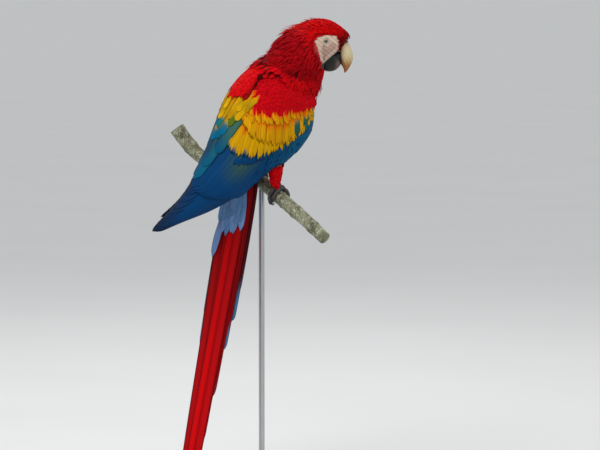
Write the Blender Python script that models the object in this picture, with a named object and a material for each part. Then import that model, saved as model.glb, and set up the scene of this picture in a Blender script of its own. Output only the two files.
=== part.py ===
"""A life-size scarlet macaw, perched on a cut length of branch that a plain stand holds.

The row frame is in metres: +Z up, the bird faces -Y, its left side is +X, and the origin is the centre of
the stand's underside. Most sizes are easier to read on the bird, so they are given in centimetres as
(forward, left, up), counted from the perch under the bird, and the function at() turns them into the frame.
"""

import math

import bmesh
import bpy
from mathutils import Matrix, Vector

CM = 0.01
GAP = 0.03  # cm between touching pieces
TRUNK_CLEAR = 2 * GAP  # what goes into the trunk is cut back this far, as the trunk's facets are twisted
RIM = 0.11  # cm of room round a wing's thin edge
LAYER_GAP = 0.12  # cm between two layers of long feathers

# ---------------------------------------------------------------- driving sizes, cm and degrees
BASE_RADIUS = 15.0
BASE_THICK = 1.8
ROD_RADIUS = 0.6
PERCH_HEIGHT = 62.5  # from the stand's underside to the bird's own zero, at the top of the perch
BASE_FORWARD = -5.0  # where the stand's centre is, on the bird's forward axis

PERCH_RADIUS = 1.4
PERCH_WAY = Vector((0.09, -0.885, -0.457)).normalized()  # along the branch, towards the bird's right
RIGHT_FOOT = Vector((-1.3, -5.0, -1.78))  # on the branch's centreline
FOOT_SPACING = 7.6
PERCH_PAST_FOOT = 15.7  # how far the branch runs on past the right foot
ROD_BEFORE_FOOT = 5.9  # where the rod meets the branch, back along it from the right foot

HEAD_CENTRE = Vector((10.0, -3.2, 28.6))
HEAD_TURN = -35.0  # the head looks to the bird's right
HEAD_NOD = -3.0

EYE_RADIUS = 0.72
WING_SLOPE = 33.0  # how far the folded wing points down
WING_FRONT = Vector((9.3, 0.0, 12.3))  # the wing chart's zero, on the bird's middle plane
WING_TALL = 18.0  # the chart's full height, from the wing's lower edge to the middle of the back
WING_LOW_ANGLE = -45.0
WING_TOP_ANGLE = 88.5
ARM_THICK = 0.75
HAND_THICK = 0.55
CLEAR_OUTSIDE = 2.3  # the trunk is cleared this far outside the wing
LEFT_TUCK = 0.915  # the left wing is folded a little shorter than the right
LEFT_RAISE = 24.0  # degrees that the left wing's lower edge is drawn up, clear of the branch

TAIL_ROOT = Vector((-7.6, 0.0, 3.6))
TAIL_SLOPE = 78.3  # how far the tail points down
TAIL_LONG = 62.5
TAIL_TWIST = 25.0  # the hanging tail turns its back to the bird's right
TAIL_ROOF = 10.0
TAIL_PITCH = 0.32
VANE_THICK = 0.2


# ---------------------------------------------------------------- helpers
def at(point):
    """A point on the bird, (forward, left, up) in cm, as a point of the row frame in metres."""
    forward, left, up = point
    return Vector((left, BASE_FORWARD - forward, up + PERCH_HEIGHT)) * CM


def clear_scene():
    for obj in list(bpy.data.objects):
        bpy.data.objects.remove(obj, do_unlink=True)


def blend_through(stations, x):
    """The value at x of a smooth curve through (x, value) stations, held flat past both ends."""
    if x <= stations[0][0]:
        return stations[0][1]
    if x >= stations[-1][0]:
        return stations[-1][1]
    for i in range(len(stations) - 1):
        (x0, a), (x1, b) = stations[i], stations[i + 1]
        if x <= x1:
            before = stations[max(i - 1, 0)]
            after = stations[min(i + 2, len(stations) - 1)]
            rise0 = (b - before[1]) / (x1 - before[0])
            rise1 = (after[1] - a) / (after[0] - x0)
            t = (x - x0) / (x1 - x0)
            wide = x1 - x0
            return (
                (2 * t**3 - 3 * t**2 + 1) * a
                + (t**3 - 2 * t**2 + t) * wide * rise0
                + (3 * t**2 - 2 * t**3) * b
                + (t**3 - t**2) * wide * rise1
            )


def path_through(points, steps):
    """Points evenly spaced in parameter along a smooth curve through these points."""
    stations = [list(enumerate(p[axis] for p in points)) for axis in range(3)]
    last = len(points) - 1
    return [
        Vector(blend_through(s, last * i / (steps - 1)) for s in stations) for i in range(steps)
    ]


def material(name, color, roughness=0.6, metallic=0.0):
    mat = bpy.data.materials.get(name)
    if mat is None:
        mat = bpy.data.materials.new(name)
        mat.use_nodes = True
        shader = mat.node_tree.nodes["Principled BSDF"]
        shader.inputs["Base Color"].default_value = (*color, 1.0)
        shader.inputs["Roughness"].default_value = roughness
        shader.inputs["Metallic"].default_value = metallic
    return mat


RED = ("red_feathers", (0.55, 0.01, 0.02))
YELLOW = ("yellow_feathers", (0.75, 0.45, 0.01))
BLUE = ("blue_feathers", (0.01, 0.09, 0.30))
PALE_BLUE = ("pale_blue_feathers", (0.10, 0.24, 0.45))
FOOT_SKIN = ("foot_skin", (0.09, 0.075, 0.075))
CLAW_HORN = ("claw_horn", (0.02, 0.018, 0.018), 0.35)
PALE_HORN = ("pale_horn", (0.66, 0.55, 0.38), 0.35)
DARK_HORN = ("dark_horn", (0.02, 0.022, 0.022), 0.35)
EYE_GLASS = ("eye_glass", (0.55, 0.50, 0.28), 0.08)
BARK = ("bark", (0.20, 0.17, 0.12), 0.9)
STAND_STEEL = ("stand_steel", (0.45, 0.45, 0.46), 0.35, 1.0)
STAND_WOOD = ("stand_wood", (0.10, 0.055, 0.03), 0.45)


def node(name, bm, look, smooth=True):
    """Makes the bmesh a named object with its own material."""
    bmesh.ops.recalc_face_normals(bm, faces=bm.faces)
    if bm.calc_volume(signed=True) < 0:
        bmesh.ops.reverse_faces(bm, faces=bm.faces)
    mesh = bpy.data.meshes.new(name)
    bm.to_mesh(mesh)
    bm.free()
    if smooth:
        mesh.shade_smooth()
        mesh.set_sharp_from_angle(angle=math.radians(50))
    obj = bpy.data.objects.new(name, mesh)
    bpy.context.scene.collection.objects.link(obj)
    if look:
        mesh.materials.append(material(*look))
    return obj


def cutter(name, bm):
    """A helper that only cuts other pieces."""
    obj = node(name, bm, None, smooth=False)
    obj.hide_render = True
    obj.display_type = "WIRE"
    return obj


def cut(obj, tool, operation="DIFFERENCE"):
    modifier = obj.modifiers.new(f"{operation.lower()}_{tool.name}", "BOOLEAN")
    modifier.operation = operation
    modifier.solver = "EXACT"
    modifier.object = tool


def loft(rings, sides, grow=0.0):
    """A closed skin over oval rings. Each ring is (centre, across, upward, half width, half up, half down),
    in bird cm. grow makes every ring that much bigger, and moves the end rings out by as much."""
    bm = bmesh.new()
    loops = []
    for number, (centre, across, upward, wide, up, down) in enumerate(rings):
        if grow and number in (0, len(rings) - 1):
            outward = centre - rings[1 if number == 0 else -2][0]
            centre = centre + outward.normalized() * grow
        made = bmesh.ops.create_circle(bm, segments=sides, radius=1.0)
        for vert in made["verts"]:
            side, rise = vert.co.x, vert.co.y
            tall = (up if rise > 0 else down) + grow
            vert.co = at(centre + across * side * (wide + grow) + upward * rise * tall)
        loops.append(list({e for v in made["verts"] for e in v.link_edges}))
    for first, second in zip(loops, loops[1:]):
        bmesh.ops.bridge_loops(bm, edges=first + second)
    for end in (loops[0], loops[-1]):
        bmesh.ops.contextual_create(bm, geom=end)
    return bm


def tube(points, radii, sides, grow=0.0):
    """A closed round tube along points, with a radius at each."""
    rings = []
    reference = Vector((0.13, 0.21, 1.0))
    for i, point in enumerate(points):
        ahead = points[min(i + 1, len(points) - 1)] - points[max(i - 1, 0)]
        across = ahead.cross(reference).normalized()
        upward = across.cross(ahead).normalized()
        rings.append((point, across, upward, radii[i], radii[i], radii[i]))
    return loft(rings, sides, grow)


def parted(bm, point, normal):
    """Cuts away what lies past a plane, given in bird cm, and closes the cut."""
    origin = at(point)
    direction = (at(point + normal) - origin).normalized()
    geometry = bm.verts[:] + bm.edges[:] + bm.faces[:]
    made = bmesh.ops.bisect_plane(
        bm, geom=geometry, plane_co=origin, plane_no=direction, clear_outer=True, dist=1e-7
    )
    edges = [e for e in made["geom_cut"] if isinstance(e, bmesh.types.BMEdge)]
    bmesh.ops.holes_fill(bm, edges=edges, sides=0)
    return bm


# ---------------------------------------------------------------- trunk, neck and head
# (up, forward, left, half width, half depth to the back, half depth to the belly) up the body's middle line
TRUNK_STATIONS = (
    (0.2, -9.3, 0.0, 1.6, 1.1, 1.1),
    (3.6, -8.2, 0.0, 3.4, 2.9, 2.8),
    (7.6, -6.2, 0.0, 5.7, 5.2, 5.3),
    (12.4, -3.4, 0.0, 7.0, 7.4, 7.0),
    (17.0, -0.4, -0.2, 7.1, 7.6, 7.6),
    (20.8, 2.4, -0.6, 6.6, 8.0, 7.8),
    (24.0, 4.7, -1.4, 6.0, 7.2, 7.5),
    (26.8, 6.6, -2.3, 5.4, 6.1, 6.0),
    (29.2, 8.4, -3.0, 4.4, 4.8, 4.2),
    (31.0, 9.8, -3.2, 2.4, 2.4, 2.2),
)
TRUNK_RINGS = 18


def trunk_line(up):
    """The body's middle point and its half sizes at a height."""
    columns = [[(row[0], row[c]) for row in TRUNK_STATIONS] for c in range(1, 6)]
    forward, left, wide, back, belly = (blend_through(c, up) for c in columns)
    return Vector((forward, left, up)), wide, back, belly


def trunk_rings():
    low, high = TRUNK_STATIONS[0][0], TRUNK_STATIONS[-1][0]
    heights = [low + (high - low) * i / (TRUNK_RINGS - 1) for i in range(TRUNK_RINGS)]
    rings = []
    for i, up in enumerate(heights):
        centre, wide, back, belly = trunk_line(up)
        ahead = trunk_line(min(up + 0.6, high))[0] - trunk_line(max(up - 0.6, low))[0]
        across = ahead.cross(Vector((-1, 0, 1))).normalized()
        upward = across.cross(ahead).normalized()
        if upward.x > 0:
            across, upward = -across, -upward
        rings.append((centre, across, upward, wide, back, belly))
    return rings


def body(grow=0.0):
    return loft(trunk_rings(), 18, grow)


def head_axes():
    """The head's own forward, left and up, as directions on the bird."""
    turn = Matrix.Rotation(math.radians(HEAD_TURN), 3, "Z")
    nod = Matrix.Rotation(math.radians(-HEAD_NOD), 3, "Y")
    both = turn @ nod
    return both @ Vector((1, 0, 0)), both @ Vector((0, 1, 0)), both @ Vector((0, 0, 1))


def on_head(forward, left, up):
    ahead, sideways, upward = head_axes()
    return HEAD_CENTRE + ahead * forward + sideways * left + upward * up


# (forward, middle height, half width, half up, half down) along the head
HEAD_STATIONS = (
    (-5.6, 0.6, 1.4, 1.6, 1.6),
    (-4.6, 0.5, 2.7, 3.3, 3.3),
    (-2.4, 0.3, 3.7, 4.7, 4.6),
    (0.2, 0.2, 3.95, 5.4, 4.8),
    (2.6, 0.3, 3.6, 4.9, 3.6),
    (4.6, 0.9, 2.8, 3.2, 2.3),
    (5.8, 1.2, 2.1, 1.9, 1.6),
    (6.6, 1.2, 1.2, 1.0, 0.9),
)


def head_shape(grow=0.0):
    ahead, sideways, upward = head_axes()
    rings = []
    low, high = HEAD_STATIONS[0][0], HEAD_STATIONS[-1][0]
    columns = [[(row[0], row[c]) for row in HEAD_STATIONS] for c in range(1, 5)]
    count = 11
    for i in range(count):
        forward = low + (high - low) * i / (count - 1)
        middle, wide, up, down = (blend_through(c, forward) for c in columns)
        rings.append((on_head(forward, 0, middle), sideways, upward, wide, up, down))
    return loft(rings, 16, grow)


# The upper bill's middle line on the head's own (forward, up), with the half width, and the half depths to
# the curved ridge and to the cutting edge
UPPER_BILL = (
    (4.50, 0.60, 1.35, 1.10, 1.00),
    (5.25, 0.00, 1.50, 1.20, 1.15),
    (5.65, -1.00, 1.55, 1.35, 1.30),
    (5.76, -2.10, 1.40, 1.50, 1.50),
    (5.84, -3.30, 1.05, 1.20, 1.15),
    (5.88, -4.20, 0.60, 0.72, 0.65),
    (5.80, -4.90, 0.28, 0.34, 0.28),
    (5.66, -5.30, 0.08, 0.10, 0.08),
)


def upper_bill(grow=0.0):
    columns = [[(i, row[c]) for i, row in enumerate(UPPER_BILL)] for c in range(5)]
    ahead, sideways, upward = head_axes()
    count = 12
    last = len(UPPER_BILL) - 1
    rings = []
    for i in range(count):
        step = last * i / (count - 1)
        forward, up, wide, ridge, edge = (blend_through(c, step) for c in columns)
        run, drop = (
            blend_through(c, min(step + 0.3, last)) - blend_through(c, max(step - 0.3, 0))
            for c in columns[:2]
        )
        outer = (ahead * -drop + upward * run).normalized()
        rings.append((on_head(forward, 0, up), sideways, outer, wide, ridge, edge))
    return loft(rings, 12, grow)


LOWER_BILL_CENTRE = (2.1, -3.1)
LOWER_BILL_HALF = (2.35, 1.45, 2.3)  # along, across and up


def lower_bill(grow=0.0):
    """An egg-shaped scoop with its rear cut off where it meets the cheek and its top where the jaws meet."""
    ahead, sideways, upward = head_axes()
    bm = bmesh.new()
    bmesh.ops.create_uvsphere(bm, u_segments=16, v_segments=10, radius=1.0)
    for vert in bm.verts:
        along, across, up = (c * (h + grow) for c, h in zip(vert.co, LOWER_BILL_HALF))
        forward, middle = LOWER_BILL_CENTRE
        vert.co = at(on_head(forward + along, across, middle + up))
    rear = on_head(1.9 - grow, 0, -2.7)
    parted(bm, rear, (ahead * -0.82 + upward * 0.57).normalized())
    top = on_head(3.2, 0, -1.6 + grow)
    parted(bm, top, (upward * 0.86 + ahead * 0.5).normalized())
    return bm


def eyeball(side, grow=0.0):
    bm = bmesh.new()
    bmesh.ops.create_uvsphere(bm, u_segments=12, v_segments=7, radius=1.0)
    for vert in bm.verts:
        vert.co = at(on_head(1.5, side * 3.12, 1.05) + vert.co * (EYE_RADIUS + grow))
    return bm


# Where the trunk is parted: the height of each thin cut, and the way it faces
NECK_CUT = (22.6, (0.66, -0.2, 0.72))
WAIST_CUT = (11.0, (0.58, 0.0, 0.81))


def build_body():
    trunk_top, trunk_tilt = trunk_line(NECK_CUT[0])[0], Vector(NECK_CUT[1]).normalized()
    waist, waist_tilt = trunk_line(WAIST_CUT[0])[0], Vector(WAIST_CUT[1]).normalized()
    half = GAP / 2
    rump = parted(body(), waist - waist_tilt * half, waist_tilt)
    breast = parted(body(), waist + waist_tilt * half, -waist_tilt)
    breast = parted(breast, trunk_top - trunk_tilt * half, trunk_tilt)
    neck = parted(body(), trunk_top + trunk_tilt * half, -trunk_tilt)
    pieces = {
        "trunk_rump": node("trunk_rump", rump, RED),
        "trunk_breast": node("trunk_breast", breast, RED),
        "neck": node("neck", neck, RED),
    }
    head = node("head", head_shape(), RED)
    cut(pieces["neck"], cutter("cut_head", head_shape(GAP)))
    cut(pieces["neck"], cutter("cut_throat", lower_bill(GAP)))
    cut(head, cutter("cut_upper_bill", upper_bill(GAP)))
    cut(head, cutter("cut_lower_bill", lower_bill(GAP)))
    for side, word in ((-1, "right"), (1, "left")):
        cut(head, cutter(f"cut_eye_{word}", eyeball(side, GAP)))
        node(f"eye_{word}", eyeball(side), EYE_GLASS)
    bill = node("bill_upper", upper_bill(), PALE_HORN)
    cut(bill, cutter("cut_jaw", lower_bill(GAP)))
    jaw = node("bill_lower", lower_bill(), DARK_HORN)
    pieces.update(head=head, bill_upper=bill, bill_lower=jaw)
    return pieces


# ---------------------------------------------------------------- wings
# Each wing lies on a shell of ovals set square to the wing's own slope: (distance back from the front,
# oval's middle above the slope line, half height, half width)
WING_SHELL = (
    (0.0, 6.2, 10.1, 6.8),
    (5.0, 6.4, 10.6, 7.5),
    (11.0, 5.9, 10.3, 7.6),
    (15.5, 5.3, 8.9, 7.2),
    (18.7, 4.5, 8.0, 6.8),
    (23.0, 3.2, 6.8, 6.1),
    (27.0, 2.6, 5.5, 5.3),
    (31.0, 2.4, 4.1, 4.3),
    (37.0, 2.9, 2.3, 2.9),
    (45.0, 4.0, 1.2, 1.6),
)


def wing_point(side, back, tall, lift=0.0):
    """A place on a wing's shell. back and tall are chart cm: back from the wing's front, and up from its
    lower edge round to the middle of the back. lift is how far it lies outside the shell."""
    slope = math.radians(WING_SLOPE)
    along = Vector((-math.cos(slope), 0, -math.sin(slope))) * (LEFT_TUCK if side > 0 else 1.0)
    upward = Vector((-math.sin(slope), 0, math.cos(slope)))
    middle, half_tall, half_wide = (
        blend_through([(row[0], row[c]) for row in WING_SHELL], back) for c in (1, 2, 3)
    )
    low_angle = WING_LOW_ANGLE + (LEFT_RAISE if side > 0 else 0.0)
    angle = math.radians(low_angle + (WING_TOP_ANGLE - low_angle) * tall / WING_TALL)
    rise = middle + (half_tall + lift) * math.sin(angle)
    out = (half_wide + lift) * math.cos(angle)
    return WING_FRONT + along * back + upward * rise + Vector((0, side * out, 0))


def arm_front(tall):
    return 0.3 + (0.19 if tall < 5.0 else 0.02) * (tall - 5.0) ** 2


def arm_rear(tall):
    """Where the secondaries' and tertials' tips end, one rounded line."""
    stations = ((0.0, 24.0), (3.0, 27.0), (7.0, 29.8), (11.0, 31.0), (15.0, 30.0), (18.0, 27.0))
    return blend_through(stations, tall)


def hand_low(back):
    return blend_through(((14.0, 1.0), (24.0, 0.2), (32.0, -0.6), (39.0, 0.4), (43.0, 3.5)), back)


def hand_high(back):
    return blend_through(((14.0, 8.0), (24.0, 11.0), (32.0, 16.0), (39.0, 14.5), (43.0, 11.0)), back)


def hand_lift(back):
    """The primaries lie under the arm's panel, and come out to the shell behind it."""
    under = -ARM_THICK - LAYER_GAP
    return blend_through(((27.0, under), (32.0, under), (38.0, -0.1)), back)


def arm_sheet(grow=0.0):
    """The covert and secondary panel, flat on the wing's chart."""
    bm = bmesh.new()
    bmesh.ops.create_grid(bm, x_segments=12, y_segments=9, size=0.5)
    for vert in bm.verts:
        tall = (vert.co.y + 0.5) * (WING_TALL + 5.5 * grow) - grow  # a grown sheet crosses the middle
        share = vert.co.x + 0.5
        front, rear = arm_front(tall) - grow, arm_rear(tall) + grow
        vert.co = Vector((front * (1 - share) + rear * share, tall, 0))
    return bm


def hand_sheet(grow=0.0):
    """The primaries' band, flat on the chart, from under the secondaries to the wing's tip."""
    bm = bmesh.new()
    bmesh.ops.create_grid(bm, x_segments=11, y_segments=3, size=0.5)
    for vert in bm.verts:
        back = 15.0 - grow + (28.0 + 2 * grow) * (vert.co.x + 0.5)
        share = vert.co.y + 0.5
        low, high = hand_low(back) - grow, hand_high(back) + grow
        vert.co = Vector((back, low * (1 - share) + high * share, 0))
    return bm


def trimmed(bm, *lines):
    """Cuts a flat chart sheet down to what lies on the inner side of each (point, outward) line."""
    for (back, tall), outward in lines:
        normal = Vector((*outward, 0)).normalized()
        point = Vector((back, tall, 0)) - normal * GAP / 2
        geometry = bm.verts[:] + bm.edges[:] + bm.faces[:]
        bmesh.ops.bisect_plane(bm, geom=geometry, plane_co=point, plane_no=normal, clear_outer=True)
    return bm


def wrapped(bm, side, outer, thick):
    """Gives a flat chart sheet its thickness, and wraps it on a wing's shell. outer is the lift of its outer
    face, and may be a function of the chart's back."""
    made = bmesh.ops.extrude_face_region(bm, geom=bm.faces[:])
    top = {v for v in made["geom"] if isinstance(v, bmesh.types.BMVert)}
    for vert in bm.verts:
        back, tall, _ = vert.co
        lift = outer(back) if callable(outer) else outer
        vert.co = at(wing_point(side, back, tall, lift if vert in top else lift - thick))
    return bm


RED_EDGE = ((7.0, 6.9), (0.53, -0.85))
YELLOW_EDGE = ((13.5, 2.8), (0.53, -0.85))
SCAPULAR_FRONT = ((11.3, 12.0), (1.0, 0.0))
SECONDARY_FRONT = ((19.4, 9.0), (1.0, 0.0))


def opposite(line):
    point, (x, y) = line
    return point, (-x, -y)


def build_wing(side, word):
    parts = {
        "shoulder": (RED, (RED_EDGE, SCAPULAR_FRONT)),
        "coverts": (YELLOW, (opposite(RED_EDGE), YELLOW_EDGE, SECONDARY_FRONT)),
        "scapulars": (YELLOW, (RED_EDGE, opposite(SCAPULAR_FRONT), SECONDARY_FRONT)),
        "edge": (BLUE, (opposite(YELLOW_EDGE), SECONDARY_FRONT)),
        "secondaries": (BLUE, (opposite(SECONDARY_FRONT),)),
    }
    for name, (look, lines) in parts.items():
        sheet = wrapped(trimmed(arm_sheet(), *lines), side, 0.0, ARM_THICK)
        node(f"wing_{word}_{name}", sheet, look)
    node(f"wing_{word}_primaries", wrapped(hand_sheet(), side, hand_lift, HAND_THICK), BLUE)
    arm_room = ARM_THICK + 2 * RIM
    arm = cutter(f"cut_arm_{word}", wrapped(arm_sheet(RIM), side, CLEAR_OUTSIDE, CLEAR_OUTSIDE + arm_room))
    hand = cutter(f"cut_hand_{word}", wrapped(hand_sheet(RIM), side, RIM, RIM + arm_room + HAND_THICK))
    slit = cutter(f"slit_arm_{word}", wrapped(arm_sheet(RIM), side, RIM, arm_room))
    return arm, hand, slit


# ---------------------------------------------------------------- tail
def tail_axes():
    slope = math.radians(TAIL_SLOPE)
    down = Vector((-math.cos(slope), 0, -math.sin(slope)))
    back = Vector((-math.sin(slope), 0, math.cos(slope)))
    return down, back


def tail_point(along, left, lift):
    """A place on the tail: along it from its root, to the left, and out from its roof-shaped top."""
    down, back = tail_axes()
    turn = Matrix.Rotation(math.radians(-TAIL_TWIST * min(0.4 + along / 25.0, 1.0)), 3, down)
    tilt = math.radians(TAIL_ROOF)
    drop = (math.hypot(left, 1.0) - 1.0) * math.sin(tilt)
    flat = Vector((0, left * math.cos(tilt), 0)) + back * (lift - drop)
    return TAIL_ROOT + down * along + turn @ flat


def tail_feather(low, high, lefts, lift, thick, tip):
    """A long vane with a rounded tip. lefts gives its two edges, as functions of the way along."""
    bm = bmesh.new()
    bmesh.ops.create_grid(bm, x_segments=9, y_segments=4, size=0.5)
    made = bmesh.ops.extrude_face_region(bm, geom=bm.faces[:])
    top = {v for v in made["geom"] if isinstance(v, bmesh.types.BMVert)}
    for vert in bm.verts:
        share = vert.co.x + 0.5
        across = vert.co.y * 2
        along = low + (high - low) * share - tip * abs(across) ** 2 * share**3
        inner, outer = lefts(along)
        left = (inner + outer) / 2 + (outer - inner) / 2 * across
        vert.co = at(tail_point(along, left, lift if vert in top else lift - thick))
    return bm


def spread(along, start, end):
    """A feather edge's place across the tail, drawing in towards the tip."""
    return start + (end - start) * min(max(along / TAIL_LONG, 0.0), 1.0)


def build_tail(trunk_cut):
    feathers = {  # name: (look, length share, edge across the middle, outer edge), each from root to tip
        "inner": (RED, 1.0, (0.02, -1.3), (3.1, 2.1)),
        "middle": (RED, 0.71, (0.6, 0.4), (4.0, 3.0)),
        "outer": (BLUE, 0.47, (1.2, 1.2), (4.4, 3.7)),
    }
    for side, word in ((-1, "right"), (1, "left")):
        for number, (name, (look, share, near, far)) in enumerate(feathers.items()):
            lift = -TAIL_PITCH * (2 * number + (1 if side > 0 else 0))

            def edges(along, k=side, near=near, far=far):
                return k * spread(along, *near), k * spread(along, *far)

            vane = tail_feather(1.5, TAIL_LONG * share, edges, lift, VANE_THICK, 3.0)
            cut(node(f"tail_{word}_{name}", vane, look), trunk_cut)
    upper = tail_feather(-1.0, 12.5, lambda s: (-3.0 + s * 0.03, 3.0 - s * 0.03), 0.8, 0.66, 4.0)
    lower = tail_feather(-1.0, 14.0, lambda s: (-2.9 + s * 0.07, 2.9 - s * 0.07), -6 * TAIL_PITCH, 0.7, 4.0)
    cut(node("tail_coverts_upper", upper, PALE_BLUE), trunk_cut)
    cut(node("tail_coverts_under", lower, PALE_BLUE), trunk_cut)


# ---------------------------------------------------------------- legs and feet
TOES = {  # name: (way round the branch, shift along it at root and tip, length, radius), in cm
    "toe_2": (1, 0.52, 1.25, 3.2, 0.42),
    "toe_3": (1, -0.52, -1.40, 4.2, 0.46),
    "toe_1": (-1, 0.50, 0.75, 2.4, 0.40),
    "toe_4": (-1, -0.50, -0.40, 3.7, 0.44),
}
TOE_START = 20.0  # degrees from the branch's top
CLAW_LONG = 1.7


def branch_axes():
    """Up and forward, square to the branch."""
    upward = (Vector((0, 0, 1)) - PERCH_WAY * PERCH_WAY.z).normalized()
    return upward, PERCH_WAY.cross(upward).normalized()


def round_branch(foot, angle, shift, radius):
    """A point at a radius from the branch's middle line: angle from its top, forward being positive."""
    upward, sideways = branch_axes()
    ahead = sideways if sideways.x > 0 else -sideways
    turn = math.radians(angle)
    return foot + PERCH_WAY * shift + upward * radius * math.cos(turn) + ahead * radius * math.sin(turn)


def foot_place(side):
    return RIGHT_FOOT if side < 0 else RIGHT_FOOT - PERCH_WAY * FOOT_SPACING


def toe_tube(side, name, grow=0.0):
    way, root, tip, length, radius = TOES[name]
    reach = PERCH_RADIUS + radius + GAP + 0.03
    sweep = math.degrees(length / reach)
    steps = [i / 6 for i in range(7)]
    points = [
        round_branch(foot_place(side), way * (TOE_START + sweep * t), root + (tip - root) * t, reach)
        for t in steps
    ]
    return tube(points, [radius * (1.0 - 0.22 * t) for t in steps], 7, grow)


def claw_tube(side, name):
    way, root, tip, length, radius = TOES[name]
    reach = PERCH_RADIUS + radius + GAP + 0.03
    start = TOE_START + math.degrees((length + 0.2) / reach)
    sweep = math.degrees(CLAW_LONG / reach)
    steps = [i / 4 for i in range(5)]
    points = [
        round_branch(foot_place(side), way * (start + sweep * t), tip, reach + 0.3 * math.sin(math.pi * t))
        for t in steps
    ]
    return tube(points, [0.30 * (1.0 - t**1.3) + 0.04 for t in steps], 6)


def shank_points(side):
    foot = foot_place(side)
    sole = round_branch(foot, 0, 0, PERCH_RADIUS + 0.15)
    heel = sole + Vector((-0.9, -0.1 * side, 2.3))
    return sole, heel


def build_leg(side, word, perch_cut, trunk):
    sole, heel = shank_points(side)
    hip = Vector((-3.4, side * 4.0, 8.6))
    knee = heel + (hip - heel) * 0.5 + Vector((0.9, side * 0.4, 0.0))
    thigh_path = path_through((heel + Vector((0.1, 0, -0.2)), knee, hip), 7)
    thigh_radii = [blend_through(((0, 1.4), (2, 1.9), (4, 2.4), (6, 2.7)), i) for i in range(7)]
    thigh = node(f"thigh_{word}", tube(thigh_path, thigh_radii, 14), RED)
    for tool in trunk:
        cut(thigh, tool)
    shank_path = path_through((sole, (sole + heel) / 2, heel - Vector((0, 0, 0.1))), 5)
    shank = node(f"shank_{word}", tube(shank_path, [0.62, 0.56, 0.52, 0.52, 0.50], 10), FOOT_SKIN)
    cut(shank, cutter(f"cut_thigh_{word}", tube(thigh_path, thigh_radii, 14, GAP)))
    cut(shank, perch_cut)
    cut(shank, trunk[0])
    for name in TOES:
        node(f"{word}_{name}", toe_tube(side, name), FOOT_SKIN)
        node(f"{word}_{name}_claw", claw_tube(side, name), CLAW_HORN)
        cut(shank, cutter(f"cut_{word}_{name}", toe_tube(side, name, GAP)))


# ---------------------------------------------------------------- perch and stand
def perch_path():
    """The branch is straight under the feet, and bends up behind the bird towards its left cut end."""
    left_foot = foot_place(1)
    points = (
        Vector((-8.6, 21.6, 11.0)),
        Vector((-6.9, 19.9, 7.8)),
        Vector((-4.9, 17.6, 5.0)),
        Vector((-3.5, 11.0, 3.5)),
        left_foot - PERCH_WAY * 3.0 + Vector((0.0, 0.0, -0.2)),
        left_foot,
        (left_foot + RIGHT_FOOT) / 2,
        RIGHT_FOOT,
        RIGHT_FOOT + PERCH_WAY * PERCH_PAST_FOOT / 3,
        RIGHT_FOOT + PERCH_WAY * PERCH_PAST_FOOT * 2 / 3 + Vector((0.1, 0.0, -0.1)),
        RIGHT_FOOT + PERCH_WAY * PERCH_PAST_FOOT + Vector((0.3, 0.0, -0.5)),
    )
    return path_through(points, 19)


def perch_tube(grow=0.0):
    path = perch_path()
    steps = [i / (len(path) - 1) for i in range(len(path))]
    thicker = ((0.0, 1.12), (0.25, 1.0), (0.7, 1.0), (1.0, 0.9))
    return tube(path, [PERCH_RADIUS * blend_through(thicker, step) for step in steps], 12, grow)


def build_stand(perch_cut):
    node("perch", perch_tube(), BARK)
    middle = RIGHT_FOOT - PERCH_WAY * ROD_BEFORE_FOOT
    floor = -PERCH_HEIGHT
    wide, tall = BASE_RADIUS * CM, BASE_THICK * CM
    bm = bmesh.new()
    bmesh.ops.create_cone(bm, cap_ends=True, segments=36, radius1=wide, radius2=wide, depth=tall)
    bmesh.ops.translate(bm, verts=bm.verts, vec=(0, 0, tall / 2))
    rim = [e for e in bm.edges if all(v.co.z > tall * 0.9 for v in e.verts)]
    bmesh.ops.bevel(bm, geom=rim, offset=0.4 * CM, segments=2, profile=0.5, affect="EDGES", material=-1)
    node("stand_base", bm, STAND_WOOD)
    foot = Vector((middle.x, middle.y, floor + BASE_THICK + GAP))
    head = Vector((middle.x, middle.y, middle.z))
    rod = node("stand_rod", tube([foot, (foot + head) / 2, head], [ROD_RADIUS] * 3, 20), STAND_STEEL)
    cut(rod, perch_cut)


# ---------------------------------------------------------------- the whole bird
clear_scene()
parts = build_body()
trunk_cut = cutter("cut_trunk", body(TRUNK_CLEAR))
build_tail(trunk_cut)
tools = []
for side, word in ((-1, "right"), (1, "left")):
    arm, hand, slit = build_wing(side, word)
    tools += [arm, hand]
    cut(parts["neck"], slit)
    for piece in (parts["trunk_rump"], parts["trunk_breast"]):
        cut(piece, arm)
        cut(piece, hand)
perch_cut = cutter("cut_perch", perch_tube(GAP))
for side, word in ((-1, "right"), (1, "left")):
    build_leg(side, word, perch_cut, (trunk_cut, *tools))
build_stand(perch_cut)
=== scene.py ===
# %% [markdown]
# # A life-size scarlet macaw on a display stand
# This lesson dresses a set of plain solids as a mounted bird: one skin under the coat, a few thousand
# feathers laid over it in the order a real bird wears them, a horny bill, glass eyes, scaly feet, a cut
# length of branch and a turned stand. The solids already have the true outline, so nothing here changes
# the bird's size. Blender offers three ways to make plumage: hair particles, scattered instances, and
# joined meshes. Only joined meshes survive an export, so each feather is a thin closed vane, and many
# vanes are joined into one mesh for each tract of the coat.

# %% Load the solids
import math

import bmesh
import bpy
import numpy as np
from mathutils import Matrix, Vector, noise
from mathutils.bvhtree import BVHTree


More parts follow.
